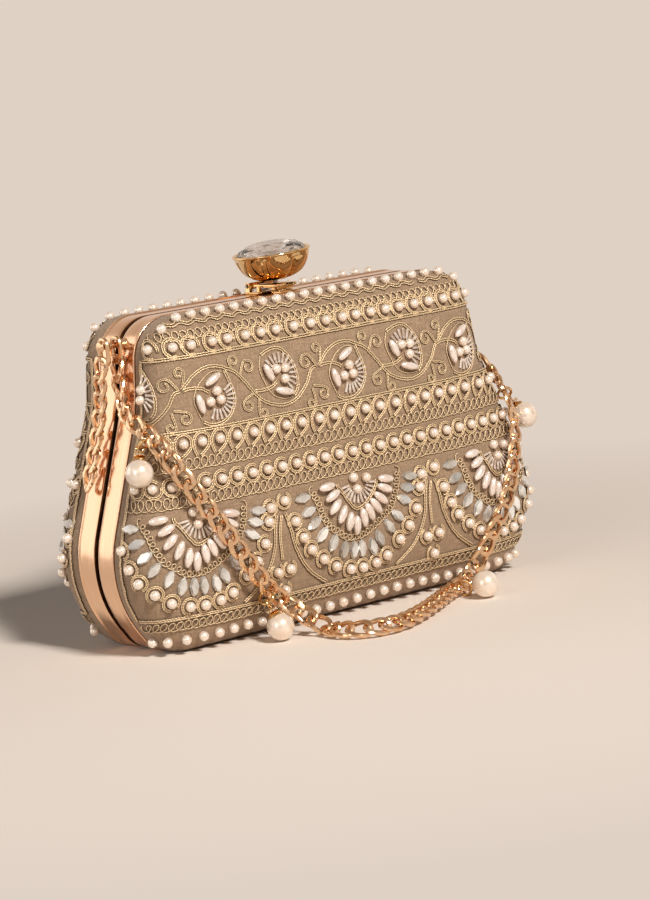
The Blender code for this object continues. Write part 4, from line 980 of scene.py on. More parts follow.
def add_coils(bm, points, pitch, height, width, lean=0.0, radius=0.27):
    """Lays a strand in overlapping round loops along a flat path, like joined-up letters e."""
    base = smooth_path(points, step=0.5)
    lengths = [0.0]
    for near, far in zip(base, base[1:]):
        lengths.append(lengths[-1] + (far - near).length)
    path, lifts, per_loop = [], [], 12
    loops = int(lengths[-1] / pitch)
    for step in range(loops * per_loop):
        travelled = lengths[-1] * step / (loops * per_loop)
        index = min(bisect.bisect(lengths, travelled), len(base) - 1)
        ahead = (base[index] - base[index - 1]).normalized()
        share = (travelled - lengths[index - 1]) / (lengths[index] - lengths[index - 1])
        middle = base[index - 1].lerp(base[index], share)
        side = Vector((-ahead.y, ahead.x))
        turn = 2 * math.pi * step / per_loop
        rise = height / 2 * math.cos(turn) * (1 + 0.06 * math.sin(step * 0.37))
        path.append(middle + ahead * (-width / 2 * math.sin(turn) + lean * rise) + side * rise)
        lifts.append(0.34 + 0.5 * (1 + math.cos(turn + 0.8)) / 2)
    for part in inside_cloth(path):
        start = path.index(part[0])
        add_strand(bm, part, lifts[start:start + len(part)], radius)


def close_cords(bm):
    """Merges the strands' seams and poles, and turns their faces outwards."""
    bmesh.ops.remove_doubles(bm, verts=bm.verts, dist=1e-6)
    bmesh.ops.recalc_face_normals(bm, faces=bm.faces)
    return len(bm.faces)


# %% [markdown]
# ## Beads
# Four sorts are sewn on: round pearls of about 4 mm, rice pearls, short bugles and leaf-shaped
# stones. They repeat some hundreds of times, so each has only a few dozen faces and relies on
# smooth shading, apart from the stones, whose facets stay flat.

# %% Beads
PEARL_RADIUS, PEARL_LIFT = 2.05, 0.62
PEARL_MARGIN, RICE_MARGIN, BUGLE_MARGIN, STONE_MARGIN = 2.2, 2.5, 2.0, 3.0  # from the frame
beads = {kind: bmesh.new() for kind in ("pearl", "rice", "bugle", "stone")}


def add_pearl(a, z, radius=PEARL_RADIUS, place=None):
    if place is None and abs(a) > cloth_edge(z) - PEARL_MARGIN:
        return
    matrix = bead_matrix(place or cloth_place(a, z), radius * PEARL_LIFT)
    bmesh.ops.create_uvsphere(beads["pearl"], u_segments=12, v_segments=8, radius=radius * MM,
                              matrix=matrix @ Matrix.Diagonal((1 / MM, 1 / MM, 1 / MM, 1.0)))


def add_rice(a, z, heading, length, width):
    if abs(a) < cloth_edge(z) - RICE_MARGIN:
        matrix = bead_matrix(cloth_place(a, z), width * 0.5, heading, (length / 2, width / 2, width / 2))
        turn = Matrix.Rotation(math.pi / 2, 4, "Y")
        bmesh.ops.create_uvsphere(beads["rice"], u_segments=10, v_segments=7, radius=1.0,
                                  matrix=matrix @ turn)


def add_bugle(a, z, heading, length=4.2, radius=0.5):
    if abs(a) < cloth_edge(z) - BUGLE_MARGIN:
        matrix = bead_matrix(cloth_place(a, z), radius * 1.1, heading)
        turn = Matrix.Rotation(math.pi / 2, 4, "Y")
        bmesh.ops.create_cone(beads["bugle"], cap_ends=True, segments=6, radius1=radius,
                              radius2=radius, depth=length, matrix=matrix @ turn)


def add_leaf_stone(a, z, heading, length=8.4, width=4.3, rise=1.3):
    if abs(a) > cloth_edge(z) - STONE_MARGIN:
        return
    made = bmesh.ops.create_cone(beads["stone"], cap_ends=True, segments=8, radius1=1.0,
                                 radius2=0.78, depth=rise)["verts"]
    for vert in made:
        pinch = 0.80 if abs(abs(vert.co.x) - abs(vert.co.y)) < 1e-4 else 1.0
        vert.co = Vector((vert.co.x * length / 2, vert.co.y * width / 2 * pinch, vert.co.z))
    tilt = Matrix.Rotation(random.uniform(-0.20, 0.20), 4, "X")
    tilt = tilt @ Matrix.Rotation(random.uniform(-0.14, 0.14), 4, "Y")
    matrix = bead_matrix(cloth_place(a, z), rise / 2 + 0.35, heading) @ tilt
    bmesh.ops.transform(beads["stone"], matrix=matrix, verts=made)


def heading_to(dx, dz):
    return math.degrees(math.atan2(dz, dx))


# %% [markdown]
# ## Pearl rows
# Four rows of pearls divide the cloth, and a fifth runs along the top shoulder. Each pearl of the
# top row sits in an open ring of double cord, those of the second row in drop-shaped loops, and
# those of the third in joined round loops. Bands of coiled cord run between them, and a double
# cord runs down each side near the frame. ROW_1 and ROW_2 are not round numbers: their pearls were
# read off the photo by eye, and a separate script turned the pixel places into millimetres.

# %% Rows of pearls and their rings
edging = bmesh.new()
ROW_1 = (-82.5, -73.2, -65.7, -56.2, -48.8, -40, -32.2, -24.6, -15.6, -6.9, 0.9, 9.4, 16.4, 24.2,
         32.1, 39.4, 47.5, 55.2, 63.4, 71.1, 79.2)
ROW_2 = (-21.2, -12.3, -4.5, 3.9, 11.7, 19.3, 27.6, 36.3, 43.7, 51.4, 58.8, 66.9, 76.1)
ROW_1_HEIGHT, ROW_2_HEIGHT, ROW_3_HEIGHT, ROW_4_HEIGHT = 120.5, 82.9, 67.2, 7.0
RINGS_1_HEIGHT, ROW_2_ENDS, RINGS_3_HEIGHT = 120.4, 82.7, 67.1
LARGE_PEARL, LARGEST_PEARL = 2.1, 2.15
LEAN_BACK = 0.9  # the photo shows a raised pearl a little to the right of where it is sewn


def fill_row(known, pitch, z):
    """Continues a row of known places to both ends of the cloth."""
    places = [a - LEAN_BACK for a in known]
    edge = cloth_edge(z) - 4.0
    while places[0] - pitch > -edge:
        places.insert(0, places[0] - pitch)
    while places[-1] + pitch < edge:
        places.append(places[-1] + pitch)
    return places


def ring_points(a, z, radius, start, sweep, count=10):
    angles = [math.radians(start + sweep * step / count) for step in range(count + 1)]
    return [(a + radius * math.cos(t), z + radius * math.sin(t)) for t in angles]


def drop_loop(a, z, slant=0.25):
    """A pointed loop round a pearl, with its point down and to the left."""
    shape = ((-2.0, -5.6), (-3.4, -2.2), (-3.3, 1.2), (-1.2, 3.5), (1.6, 3.4), (3.4, 1.2), (3.0, -1.8),
             (0.6, -4.2), (-1.2, -5.4))
    return [(a + x + slant * y * 0.4, z + y) for x, y in shape]


row_counts = []
for a in fill_row(ROW_1, 8.0, ROW_1_HEIGHT):
    add_pearl(a, ROW_1_HEIGHT)
    add_cord(edging, ring_points(a, RINGS_1_HEIGHT, 3.6, -20, 312), gap=0.38)
    row_counts.append(1)
for a in fill_row(ROW_2, 7.9, ROW_2_ENDS):
    add_pearl(a, ROW_2_HEIGHT)
    add_cord(edging, drop_loop(a, ROW_2_HEIGHT), gap=0.36)
    row_counts.append(2)
for a in fill_row([7.2 * k + 2.0 for k in range(-10, 12)], 7.2, ROW_3_HEIGHT):
    add_pearl(a, ROW_3_HEIGHT)
    add_cord(edging, ring_points(a, RINGS_3_HEIGHT, 3.35, 40, 335), gap=0.36)
    row_counts.append(3)
for a in fill_row([7.0 * k for k in range(-9, 10)], 7.0, ROW_4_HEIGHT):
    add_pearl(a, ROW_4_HEIGHT + 0.5 * math.sin(a * 0.08), LARGE_PEARL)
    row_counts.append(4)
print("pearls in the four rows:", [row_counts.count(row) for row in (1, 2, 3, 4)])

# %% The row on the shoulder
SHOULDER_DEPTH, SHOULDER_PEARLS, SHOULDER_PITCH = 22.8, 22, 7.1


def shoulder_place(x):
    """The place above the cheek, near the frame's top edge, where the cloth has a given depth."""
    low, high = 100.0, 134.0
    for _ in range(34):
        middle = (low + high) / 2
        low, high = (middle, high) if depth(x, middle) > SHOULDER_DEPTH else (low, middle)
    return surface_frame(x, low, 0.01)


for index in range(SHOULDER_PEARLS):
    x = (index - (SHOULDER_PEARLS - 1) / 2) * SHOULDER_PITCH
    add_pearl(x, 0.0, LARGE_PEARL, shoulder_place(x))
print("shoulder pearls:", SHOULDER_PEARLS)

# %% Bands of coils and straight cords
RIM_INSET = 2.3


def level_line(z, margin=3.0):
    """A level line across the cloth, from near one side of the frame to the other."""
    edge = cloth_edge(z) - margin
    return [(edge * (step / 12 - 1), z) for step in range(25)]


add_cord(edging, [(x, 129.0 + 0.5 * math.cos(math.pi * step)) for step, x in
                  enumerate(-74.5 + 3.55 * k for k in range(43))])
add_coils(edging, level_line(124.6, margin=5.0), 3.3, 3.6, 4.2)
add_cord(edging, level_line(116.4))
add_cord(edging, level_line(87.4))
add_coils(edging, level_line(75.0), 3.3, 4.6, 4.2, 0.2)
add_coils(edging, level_line(61.0), 3.3, 4.6, 4.2, 0.2)
add_coils(edging, level_line(12.6), 3.1, 3.8, 3.8, 0.3)
add_cord(edging, level_line(15.6), gap=0.36)
for side in (-1, 1):
    add_cord(edging, [(side * (cloth_edge(z) - RIM_INSET), z) for z in range(9, 118, 4)], gap=0.36)
print("edging:", close_cords(edging), "faces")
add_on_both("edging_cords", edging, GILT_CORD, "raw_silk")

# %% [markdown]
# ## Scroll vine
# Between the first two rows a vine swings up and down, and every swing holds a bud. A bud is an
# outline of double cord with bugles that radiate from its middle, two rice pearls and three round
# pearls. Spiral tendrils fill the corners. There are two forms of bud, hanging and standing. The
# points were come by as those of the pearl rows, and many of them were changed afterwards.

# %% Drawing of the vine
VINE_HEIGHT, STANDING_HEIGHT, VINE_LIFT, BUD_RAY = 98.9, 103.0, 0.34, 6.4
HANGING_BUDS, STANDING_BUDS = (-60.5, 5.3, 68.5), (-93.5, -28.6, 36.2, 100.8)
VINE = ((-14, 4.6), (-11, 7.4), (-8.2, 9.8), (-4, 11.8), (0, 12.4), (4, 11.9), (7, 10.6),
        (10.8, 8.7), (14, 5.2), (16.7, 1.4), (19.4, -2.2), (22.5, -5), (27, -7), (31.5, -7.9),
        (36.5, -7.2), (40.5, -5), (44.9, -0.9), (47.8, 3.7), (50.7, 4.6))
HANGING_LINES = (
    ((6.2, 10.1), (7.5, 5.5), (8.8, 0.5), (8.3, -3.5), (6, -7.2), (3.2, -9.4), (0, -10.4),
     (-3.8, -10.2), (-6.9, -8.6)),
    ((-13.4, 4.5), (-11, 5), (-7.5, 4.9), (-4.4, 4), (-2, 2.3)))
HANGING_THREAD = ((5.5, 9.6), (0.4, 10.2), (-4.6, 7.6), (-8.1, 3.4), (-9.2, -0.3), (-8.2, -4.7),
                  (-7, -8.1))
STANDING_LINES = (
    ((-7.2, 8.8), (-4, 10.1), (0, 10.8), (3.4, 9.8), (6.2, 6.5), (8, 2.5), (8.6, -2),
     (7.8, -6.5), (5.3, -9.4)),
    ((-13.3, -4.4), (-9, -4.7), (-4.6, -4.1), (-1.3, -2.2)))
STANDING_THREAD = ((-7.2, 8.8), (-9, 4), (-8, -1), (-5, -7), (0, -9.5), (5, -9.5))
TENDRILS = (  # centre, radius, and where the tendril leaves the vine
    (-13.6, 11.7, 2.3, -13.2, 5.4), (-20, 7.2, 3.2, -14.4, 4.4), (-13.8, -6.4, 2.8, -18.6, -2.6),
    (-20.4, -9.3, 2.3, -19.0, -3.2), (11, 12.9, 2.3, 9.6, 9.6), (17.5, 9.6, 3.0, 12.8, 6.6),
    (14.7, -5.4, 2.8, 18.4, -0.9), (21.3, -9.2, 2.3, 20.2, -3.1))


def moved(points, a, z):
    return [(x + a, y + z) for x, y in points]


def tendril(a, z, x, y, radius, from_x, from_y):
    """A spiral of a little more than a turn, from the vine towards the spiral's centre."""
    start = math.atan2(from_y - y, from_x - x)
    way = 1 if x * from_y - y * from_x > 0 else -1
    points = [(a + from_x, z + from_y)]
    for step in range(1, 12):
        shrink = radius * (1 - 0.66 * step / 11)
        turn = start + way * (0.5 + 2 * math.pi * 1.25 * step / 11)
        points.append((a + x + shrink * math.cos(turn), z + y + shrink * math.sin(turn)))
    return points


vine = bmesh.new()
for a in HANGING_BUDS:
    for line in (VINE,) + HANGING_LINES:
        add_cord(vine, moved(line, a, VINE_HEIGHT), lift=VINE_LIFT)
    add_thread(vine, moved(HANGING_THREAD, a, VINE_HEIGHT))
    for x, y, radius, from_x, from_y in TENDRILS:
        add_cord(vine, tendril(a, VINE_HEIGHT, x, y, radius, from_x, from_y), gap=0.30,
                 radius=0.25)
for a in STANDING_BUDS:
    for line in STANDING_LINES:
        add_cord(vine, moved(line, a, STANDING_HEIGHT), lift=VINE_LIFT)
    add_thread(vine, moved(STANDING_THREAD, a, STANDING_HEIGHT))
add_cord(vine, moved(VINE, HANGING_BUDS[0] - 64.7, VINE_HEIGHT), lift=VINE_LIFT)
print("vine:", close_cords(vine), "faces")
add_on_both("vine_cords", vine, GILT_CORD, "raw_silk")

# %% Beads of the buds
def add_bud_beads(a, z, pearls, first_rice, second_rice, centre, start, end, count):
    for x, y in pearls:
        add_pearl(a + x - LEAN_BACK, z + y)
    for (x0, y0), (x1, y1) in (first_rice, second_rice):
        add_rice(a + (x0 + x1) / 2, z + (y0 + y1) / 2, heading_to(x1 - x0, y1 - y0),
                 math.hypot(x1 - x0, y1 - y0) + 1.2, 3.3)
    for index in range(count):
        heading = start + (end - start) * index / (count - 1)
        angle = math.radians(heading)
        add_bugle(a + centre[0] + BUD_RAY * math.cos(angle),
                  z + centre[1] + BUD_RAY * math.sin(angle), heading)


for a in HANGING_BUDS:
    add_bud_beads(a, VINE_HEIGHT, ((-1.8, -1.2), (1.7, 2.7), (2.9, -1)), ((-3.4, 5.6), (3, 9)),
                  ((-7.8, 2), (-6.3, -4.9)), (0.8, -0.3), -115, 35, 11)
for a in STANDING_BUDS:
    add_bud_beads(a, STANDING_HEIGHT, ((-0.6, 2.5), (3.7, 2.3), (2.7, -1.9)),
                  ((-4.5, -1.5), (-6.8, 4.7)), ((-3.5, -5.6), (4.5, -7.8)), (0.4, 0.4), 150, -55,
                  13)

# %% [markdown]
# ## Half-round fans
# Under the rows hang three half-round fans. From the middle out: three pearls, a ray of bugles, a
# double cord, rice pearls set like petals, an arc of little loops, leaf-shaped stones that point
# outwards, and an outer string of pearls, each with its own loop of cord. The points of the fans
# and of the sprays after them were read off the photo by eye and turned into millimetres by a
# separate script.

# %% Drawing of a fan
FAN_MIDDLES, FAN_HEIGHT = (-78.0, 0.0, 78.0), 53.5
FAN_BUGLES, RAY_ACROSS, RAY_UP = 12, 6.6, 6.2
FAN_PEARLS = ((0, 3.1), (6.5, 2), (1.1, -1.9))
FAN_ARC = ((-9, 2.3), (-9.1, 0.7), (-6.3, -3), (-4, -6.9), (-1, -9.7), (3.6, -8.6), (7.2, -5.6),
           (10.1, -2.3), (11.2, 0.4))
FAN_RICE = ((-14.3, 1.7), (-12.2, -2.3), (-11.6, -6.9), (-8.6, -10.6), (-5.3, -13.9), (-2, -16),
            (1.9, -13.6), (5.3, -11.9), (8.8, -10.1), (11.9, -7.5), (14.7, -3.9), (15.9, -0.2))
FAN_LOOPS = ((-22.6, 2.1), (-20.1, -3.5), (-18.7, -8.9), (-16.1, -13.9), (-11.5, -17.3),
             (-7, -20.4), (-1.8, -20.7), (3, -19.9), (11.6, -15.4), (15.9, -12.7), (18.1, -9.7),
             (19.9, -6.4), (21.4, -2.7), (22.3, 3))
FAN_STONES = ((-26.6, -0.8), (-25, -6.6), (-22.7, -11.7), (-19.6, -17), (-14.1, -21.2),
              (-8.9, -25.2), (-3.9, -25.9), (0.3, -26.3), (6, -26.5), (9.8, -23.7),
              (15.2, -19.9), (20, -16.3), (24.4, -10.5), (27, -5.9), (28.9, -1.5))
FAN_OUTER = ((-31.9, -9.1), (-28.8, -16.2), (-25.3, -21.7), (-19.4, -26.7), (-13.1, -30.9),
             (-5.5, -33.5), (1, -34), (7.9, -33.4), (13.6, -31.4), (20.5, -26.1), (25.7, -21.2),
             (30.2, -15), (33.3, -6.8), (35.2, -1.7))

fans = bmesh.new()
for a in FAN_MIDDLES:
    for x, y in FAN_PEARLS:
        add_pearl(a + x - LEAN_BACK, FAN_HEIGHT + y)
    add_cord(fans, moved(FAN_ARC, a, FAN_HEIGHT))
    for index in range(FAN_BUGLES):
        heading = -172 + 164 * index / (FAN_BUGLES - 1)
        angle = math.radians(heading)
        add_bugle(a + 1.2 + RAY_ACROSS * math.cos(angle),
                  FAN_HEIGHT + 0.6 + RAY_UP * math.sin(angle), heading)
    for x, y in FAN_RICE:
        add_rice(a + x - 0.8, FAN_HEIGHT + y, heading_to(x, y - 3), 8.2, 3.6)
    add_coils(fans, moved(FAN_LOOPS, a, FAN_HEIGHT), 2.4, 2.6, 2.6)
    for x, y in FAN_STONES:
        add_leaf_stone(a + x - 0.4, FAN_HEIGHT + y, heading_to(x, y - 2))
    for x, y in FAN_OUTER:
        middle = (a + x - LEAN_BACK, FAN_HEIGHT + y)
        add_pearl(*middle, LARGEST_PEARL)
        add_cord(fans, ring_points(*middle, 3.2, heading_to(x, y) + 60, 330), gap=0.34)
print("fans: 3 with", len(FAN_STONES), "stones each")

# %% [markdown]
# ## Sprays
# A spray stands in each gap between two fans: long double cords that part to both sides like
# stems, pearls at the top and bottom, and a third stem in the middle.

# %% Sprays between the fans
SPRAY_MIDDLES, SPRAY_HEIGHT = (-39.0, 39.0), 50.0
SPRAY_STEM = ((-2.1, -1.2), (-3.6, -6.7), (-5, -14.5), (-8.2, -21.7), (-12.4, -27), (-17.2, -30.7),
              (-21, -33.2))
SPRAY_MIDDLE = ((0.4, -1.6), (-1.0, -6.0), (-1.9, -10.9), (-1.6, -19.9))
SPRAY_PEARLS = ((-3.8, 1.8), (3.4, 3.5), (-3.7, -24.2), (2.6, -23.8), (0.1, -32))
for a in SPRAY_MIDDLES:
    for x, y in SPRAY_PEARLS:
        middle = (a + x - LEAN_BACK, SPRAY_HEIGHT + y)
        add_pearl(*middle, LARGE_PEARL)
        add_cord(fans, ring_points(*middle, 3.1, 100, 330), gap=0.33)
    for sign in (1, -1):
        add_cord(fans, moved([(sign * x, y) for x, y in SPRAY_STEM], a, SPRAY_HEIGHT))
    add_cord(fans, moved(SPRAY_MIDDLE, a, SPRAY_HEIGHT), gap=0.36)
print("fans and sprays:", close_cords(fans), "faces")
add_on_both("fan_cords", fans, GILT_CORD, "raw_silk")

# %% Sewing on the beads
for kind, finish, slot, sharp in (
        ("pearl", PEARL, "glass_pearl", None), ("rice", RICE_PEARL, "glass_pearl", None),
        ("bugle", BUGLE, "cut_crystal", 40), ("stone", FOILED_STONE, "cut_crystal", 0)):
    count = len(beads[kind].faces)
    add_on_both(kind + "_beads", beads[kind], finish, slot, sharp=sharp)
    print(kind, "beads:", count, "faces on each half")

# %% [markdown]
# ## Chain studs
# A turned stud on each side of the front band carries the chain: a foot, a thin shank with room
# for the end rings, and a domed head that keeps them on.

# %% Studs
STUD_Y, STUD_HEIGHT, SHANK_RADIUS = -3.6, 123.0, 1.2
FOOT_END = half_width(STUD_HEIGHT) + 2.6
HEAD_START = FOOT_END + 8.6
STUD_SIDE = (
    (0.0, FOOT_END - 4.9), (2.0, FOOT_END - 4.9), (2.0, FOOT_END - 0.2), (1.8, FOOT_END),
    (1.45, FOOT_END), (SHANK_RADIUS, FOOT_END + 0.25), (SHANK_RADIUS, HEAD_START - 0.25),
    (1.5, HEAD_START), (2.2, HEAD_START), (2.4, HEAD_START + 0.25), (2.1, HEAD_START + 0.9),
    (1.3, HEAD_START + 1.1), (0.0, HEAD_START + 1.1))
for name, sign in (("left_chain_stud", -1), ("right_chain_stud", 1)):
    turn = Matrix.Rotation(sign * math.pi / 2, 4, "Y")
    axis = Matrix.Translation((0.0, STUD_Y * MM, STUD_HEIGHT * MM)) @ turn
    stud = bmesh.new()
    spin_profile(stud, STUD_SIDE, 24, axis)
    add_piece(name + "_turned", stud, POLISHED_ROSE_GOLD, "front_half", "rose_gold_plate",
              [name], sharp=40)
print("studs stand out to", round(STUD_SIDE[-1][1], 1), "mm")

# %% [markdown]
# ## The chain's route
# The chain hangs from the left stud, drops over the belly, lies on the ground in front of the bag
# and climbs to the right stud. Its route is a list of places on the side of the band, on the
# cloth, or on the ground. Half of them were read off the photo by eye and turned into millimetres
# by a separate script, and the rest were adjusted or typed in. A smooth curve runs through them,
# and every point of the curve also has the direction that a link there faces.

# %% Route of the handle and of the spare length
CLEARANCE, WIRE_ROOM, HALF_LINK = 0.3, 1.05, 4.6
SIDE_LIFT, FACE_LIFT, FLOOR_LIFT, TURN_LENGTH = 3.3, 5.4, 3.8, 19.0
HANDLE_ROUTE = (  # side: depth, drop below the stud. cloth: share of the half width, height
    ("left", -5.0, 12.0), ("left", -7.0, 20.0), ("left", -15.0, 27.5), ("cloth", -0.972, 86.6),
    ("cloth", -0.905, 75.3), ("cloth", -0.811, 63.6), ("cloth", -0.660, 45.1),
    ("cloth", -0.532, 25.6), ("cloth", -0.449, 16.3), ("ground", -36.2, -56.0),
    ("ground", -37.2, -66.5), ("ground", -32.5, -76.5), ("ground", -22.7, -80.5),
    ("ground", -11.6, -78.5), ("ground", 8.2, -68.1), ("ground", 32.3, -52.3),
    ("ground", 47.0, -44.0), ("cloth", 0.620, 11.8), ("cloth", 0.666, 23.1),
    ("cloth", 0.748, 36.1), ("cloth", 0.863, 54.2), ("cloth", 0.918, 62.7),
    ("cloth", 0.940, 71.5), ("right", -21.0, 40.0), ("right", -10.0, 26.0), ("right", -5.0, 12.0))
GROUND_FACING = Vector((-0.44, -0.58, 0.68))  # the links lie propped up, not quite flat
TAIL_ROUTE = ((-1.0, 11.0, 9.0), (3.0, 22.0, 6.6), (5.8, 35.0, 4.4), (7.8, 63.0, 3.6))


def side_place(sign, depth_in, drop, lift):
    height = STUD_HEIGHT - drop
    return Vector((sign * (half_width(height) + lift), depth_in, height)), Vector((sign, 0, 0))


def route_place(kind, first, second):
    """A point of the route and the direction it faces."""
    if kind == "ground":
        return Vector((first, second, FLOOR_LIFT)), GROUND_FACING
    if kind == "cloth":
        point, _, _, out = surface_frame(first * half_width(second), second)
        return point + out * FACE_LIFT, out
    lift = SIDE_LIFT if first > -FRAME_EDGE else FACE_LIFT
    return side_place(-1 if kind == "left" else 1, first, second, lift)


def make_route(places, steps=12):
    """Points along a smooth curve, the direction each one faces, and the length up to each."""
    points, facings = [p for p, _ in places], [f for _, f in places]
    ends = [2 * points[0] - points[1]] + points + [2 * points[-1] - points[-2]]
    spots, faces = [], []
    for index in range(len(points) - 1):
        for share in (step / steps for step in range(steps)):
            spots.append(catmull_rom(*ends[index:index + 4], share))
            faces.append(facings[index].lerp(facings[index + 1], share).normalized())
    spots.append(points[-1])
    faces.append(facings[-1])
    smooth = []
    for spot in spots:
        near = [face for other, face in zip(spots, faces) if (other - spot).length < TURN_LENGTH]
        smooth.append(sum(near, Vector()).normalized())
    lengths = [0.0]
    for near, far in zip(spots, spots[1:]):
        lengths.append(lengths[-1] + (far - near).length)
    return spots, smooth, lengths


def read_route(route, distance):
    spots, faces, lengths = route
    index = min(max(bisect.bisect_left(lengths, distance), 1), len(lengths) - 1) - 1
    share = (distance - lengths[index]) / (lengths[index + 1] - lengths[index])
    share = min(max(share, 0.0), 1.0)
    return spots[index].lerp(spots[index + 1], share), faces[index].lerp(faces[index + 1], share)


def axes_matrix(along, across, out, centre):
    axes = Matrix((along, across, out)).transposed().to_4x4()
    return Matrix.Translation(centre * MM) @ axes


def link_matrix(route, distance):
    """A matrix whose X runs along the chain and whose Z faces out of it."""
    point, facing = read_route(route, distance)
    ahead, behind = (read_route(route, distance + d)[0] for d in (HALF_LINK, -HALF_LINK))
    along = (ahead - behind).normalized()
    out = (facing - along * facing.dot(along)).normalized()
    return axes_matrix(along, out.cross(along), out, (ahead + behind + 2 * point) / 4)


# %% Places of the links
RUNS, JOINED_PITCH, WIDEST_PITCH, LOOSE_GAP, TAIL_LINKS = 9, 7.5, 7.63, 0.6, 7
RING_DROP = HALF_LINK - SHANK_RADIUS - CLEARANCE - WIRE_ROOM
LOOSE_PITCH = 2 * (HALF_LINK - WIRE_ROOM) - LOOSE_GAP
FIRST_LINK = RING_DROP + JOINED_PITCH
HANDLE_RING_X = FOOT_END + CLEARANCE + WIRE_ROOM
TAIL_RING_X = HEAD_START - CLEARANCE - WIRE_ROOM


def stud_place(x):
    return Vector((x, STUD_Y, STUD_HEIGHT)), Vector((math.copysign(1, x), 0, 0))


def end_ring_matrix(x):
    """The plain ring that hangs on a stud, in the plane across the stud."""
    return axes_matrix(Vector((0, 0, -1)), Vector((0, 1, 0)), Vector((1, 0, 0)),
                       Vector((x, STUD_Y, STUD_HEIGHT - RING_DROP)))


def handle_places(length):
    """Distances of the links along the handle, in runs with a loose step between them."""
    usable = length - 2 * FIRST_LINK - (RUNS - 1) * LOOSE_PITCH
    joined = math.ceil(usable / WIDEST_PITCH)
    count = joined + RUNS
    breaks = [round(count * run / RUNS) for run in range(RUNS + 1)]
    runs, distance = [], FIRST_LINK - usable / joined
    for first, last in zip(breaks, breaks[1:]):
        steps = [usable / joined] * (last - first)
        steps[0] = LOOSE_PITCH if first else steps[0]
        runs.append([])
        for step in steps:
            distance += step
            runs[-1].append(distance)
    return runs


handle_route = make_route([stud_place(-HANDLE_RING_X)] + [route_place(*row) for row in HANDLE_ROUTE]
                          + [stud_place(HANDLE_RING_X)])
tail_route = make_route([stud_place(-TAIL_RING_X)] + [side_place(-1, *row) for row in TAIL_ROUTE])
handle_runs = [[link_matrix(handle_route, d) for d in run]
               for run in handle_places(handle_route[2][-1])]
handle_runs[0].append(end_ring_matrix(-HANDLE_RING_X))
handle_runs[-1].append(end_ring_matrix(HANDLE_RING_X))
tail_places = [link_matrix(tail_route, FIRST_LINK + JOINED_PITCH * k) for k in range(TAIL_LINKS)]
print("handle:", round(handle_route[2][-1]), "mm of chain in runs of", [len(r) for r in handle_runs])

# %% [markdown]
# ## Curb chain
# A curb link is an oval of round wire that is twisted, so that the links lie flat in each other,
# and then ground flat on both faces, which gives each link a bright oval facet. One link is a
# grid rolled round a closed oval path.

# %% One link, twisted and ground flat
LINK_LENGTH, LINK_WIDTH, LINK_WIRE, LINK_TWIST, GROUND = 4.85, 2.95, 1.05, math.radians(32), 1.3


def link_centre(turn, twist):
    """A point on the middle line of a link at a turn round its oval."""
    c, s = math.cos(turn), math.sin(turn)
    along = LINK_LENGTH * math.copysign(abs(c) ** 0.72, c)
    across = LINK_WIDTH * math.copysign(abs(s) ** 0.72, s)
    tilt = twist * along / LINK_LENGTH
    return Vector((along, across * math.cos(tilt), across * math.sin(tilt)))


def roll_round(path, column, count, row, sides, radius):
    """A point on a round wire along a closed path, at a step round the wire."""
    turn = 2 * math.pi * column / count
    centre = path(turn)
    ahead = (path(turn + 0.01) - path(turn - 0.01)).normalized()
    outward = (centre - ahead * centre.dot(ahead)).normalized()
    angle = 2 * math.pi * row / sides
    return centre + (outward * math.cos(angle) + ahead.cross(outward) * math.sin(angle)) * radius


def add_link(bm, matrix, twist=LINK_TWIST, count=24, sides=8):
    def place(column, row):
        spot = roll_round(lambda turn: link_centre(turn, twist), column, count, row, sides,
                          LINK_WIRE)
        spot.z = min(max(spot.z, -GROUND), GROUND)
        return matrix @ (spot * MM)

    wrap_grid(bm, count, sides, place, closed=True)


# %% The handle and the spare length
def add_run(name, places, rings, body, node_name):
    """One run of twisted links; the rings come last in its list and are not twisted."""
    run = bmesh.new()
    for index, place in enumerate(places):
        add_link(run, place, 0.0 if index >= len(places) - rings else LINK_TWIST)
    add_piece(name, run, POLISHED_ROSE_GOLD, body, "rose_gold_plate", [node_name], sharp=38)


for number, places in enumerate(handle_runs, 1):
    add_run(f"handle_run_{number}", places, int(number in (1, RUNS)), "handle",
            f"handle_chain_{number}")
add_run("tail_run", tail_places + [end_ring_matrix(-TAIL_RING_X)], 1, "tail", "chain_tail")
print("links made:", sum(map(len, handle_runs)) + TAIL_LINKS + 1)

# %% [markdown]
# ## Pearl charms
# Each charm is a jump ring through a link, a small loop and cap that are glued into the pearl, a
# rondelle of tiny crystals between two gold rims, and the pearl itself. The CAD model says where
# a charm came to rest: its joint's axis runs along the link, its ring has a middle, and the line
# from its rondelle to its pearl is the way that it drops.

# %% Rings and loops
RING_RADIUS, RING_WIRE, LOOP_RADIUS, LOOP_WIRE = 3.0, 0.6, 1.5, 0.45
PEARL_DROP, PEARL_SIZE, RONDELLE_DROP = 10.366, 5.6, 2.9


def add_torus(bm, radius, wire, matrix, count=28, sides=10):
    """A wire ring in the XZ plane of a matrix."""
    def place(column, row):
        turn, angle = 2 * math.pi * column / count, 2 * math.pi * row / sides
        arm = radius + wire * math.cos(angle)
        spot = Vector((arm * math.cos(turn), wire * math.sin(angle), arm * math.sin(turn)))
        return matrix @ (spot * MM)

    wrap_grid(bm, count, sides, place, closed=True)


# %% Cap, rondelle and pearl
CAP_SIDE = ((0.0, -1.6), (0.5, -1.7), (0.55, -3.55), (1.1, -3.85), (2.1, -4.15), (2.75, -4.7),
            (3.1, -5.3), (2.95, -5.42), (2.5, -5.2), (0.0, -5.0))
RIM_SIDE = ((0.7, 0.0), (2.2, 0.0), (2.4, 0.12), (2.4, 0.28), (2.2, 0.4), (0.7, 0.4), (0.7, 0.0))


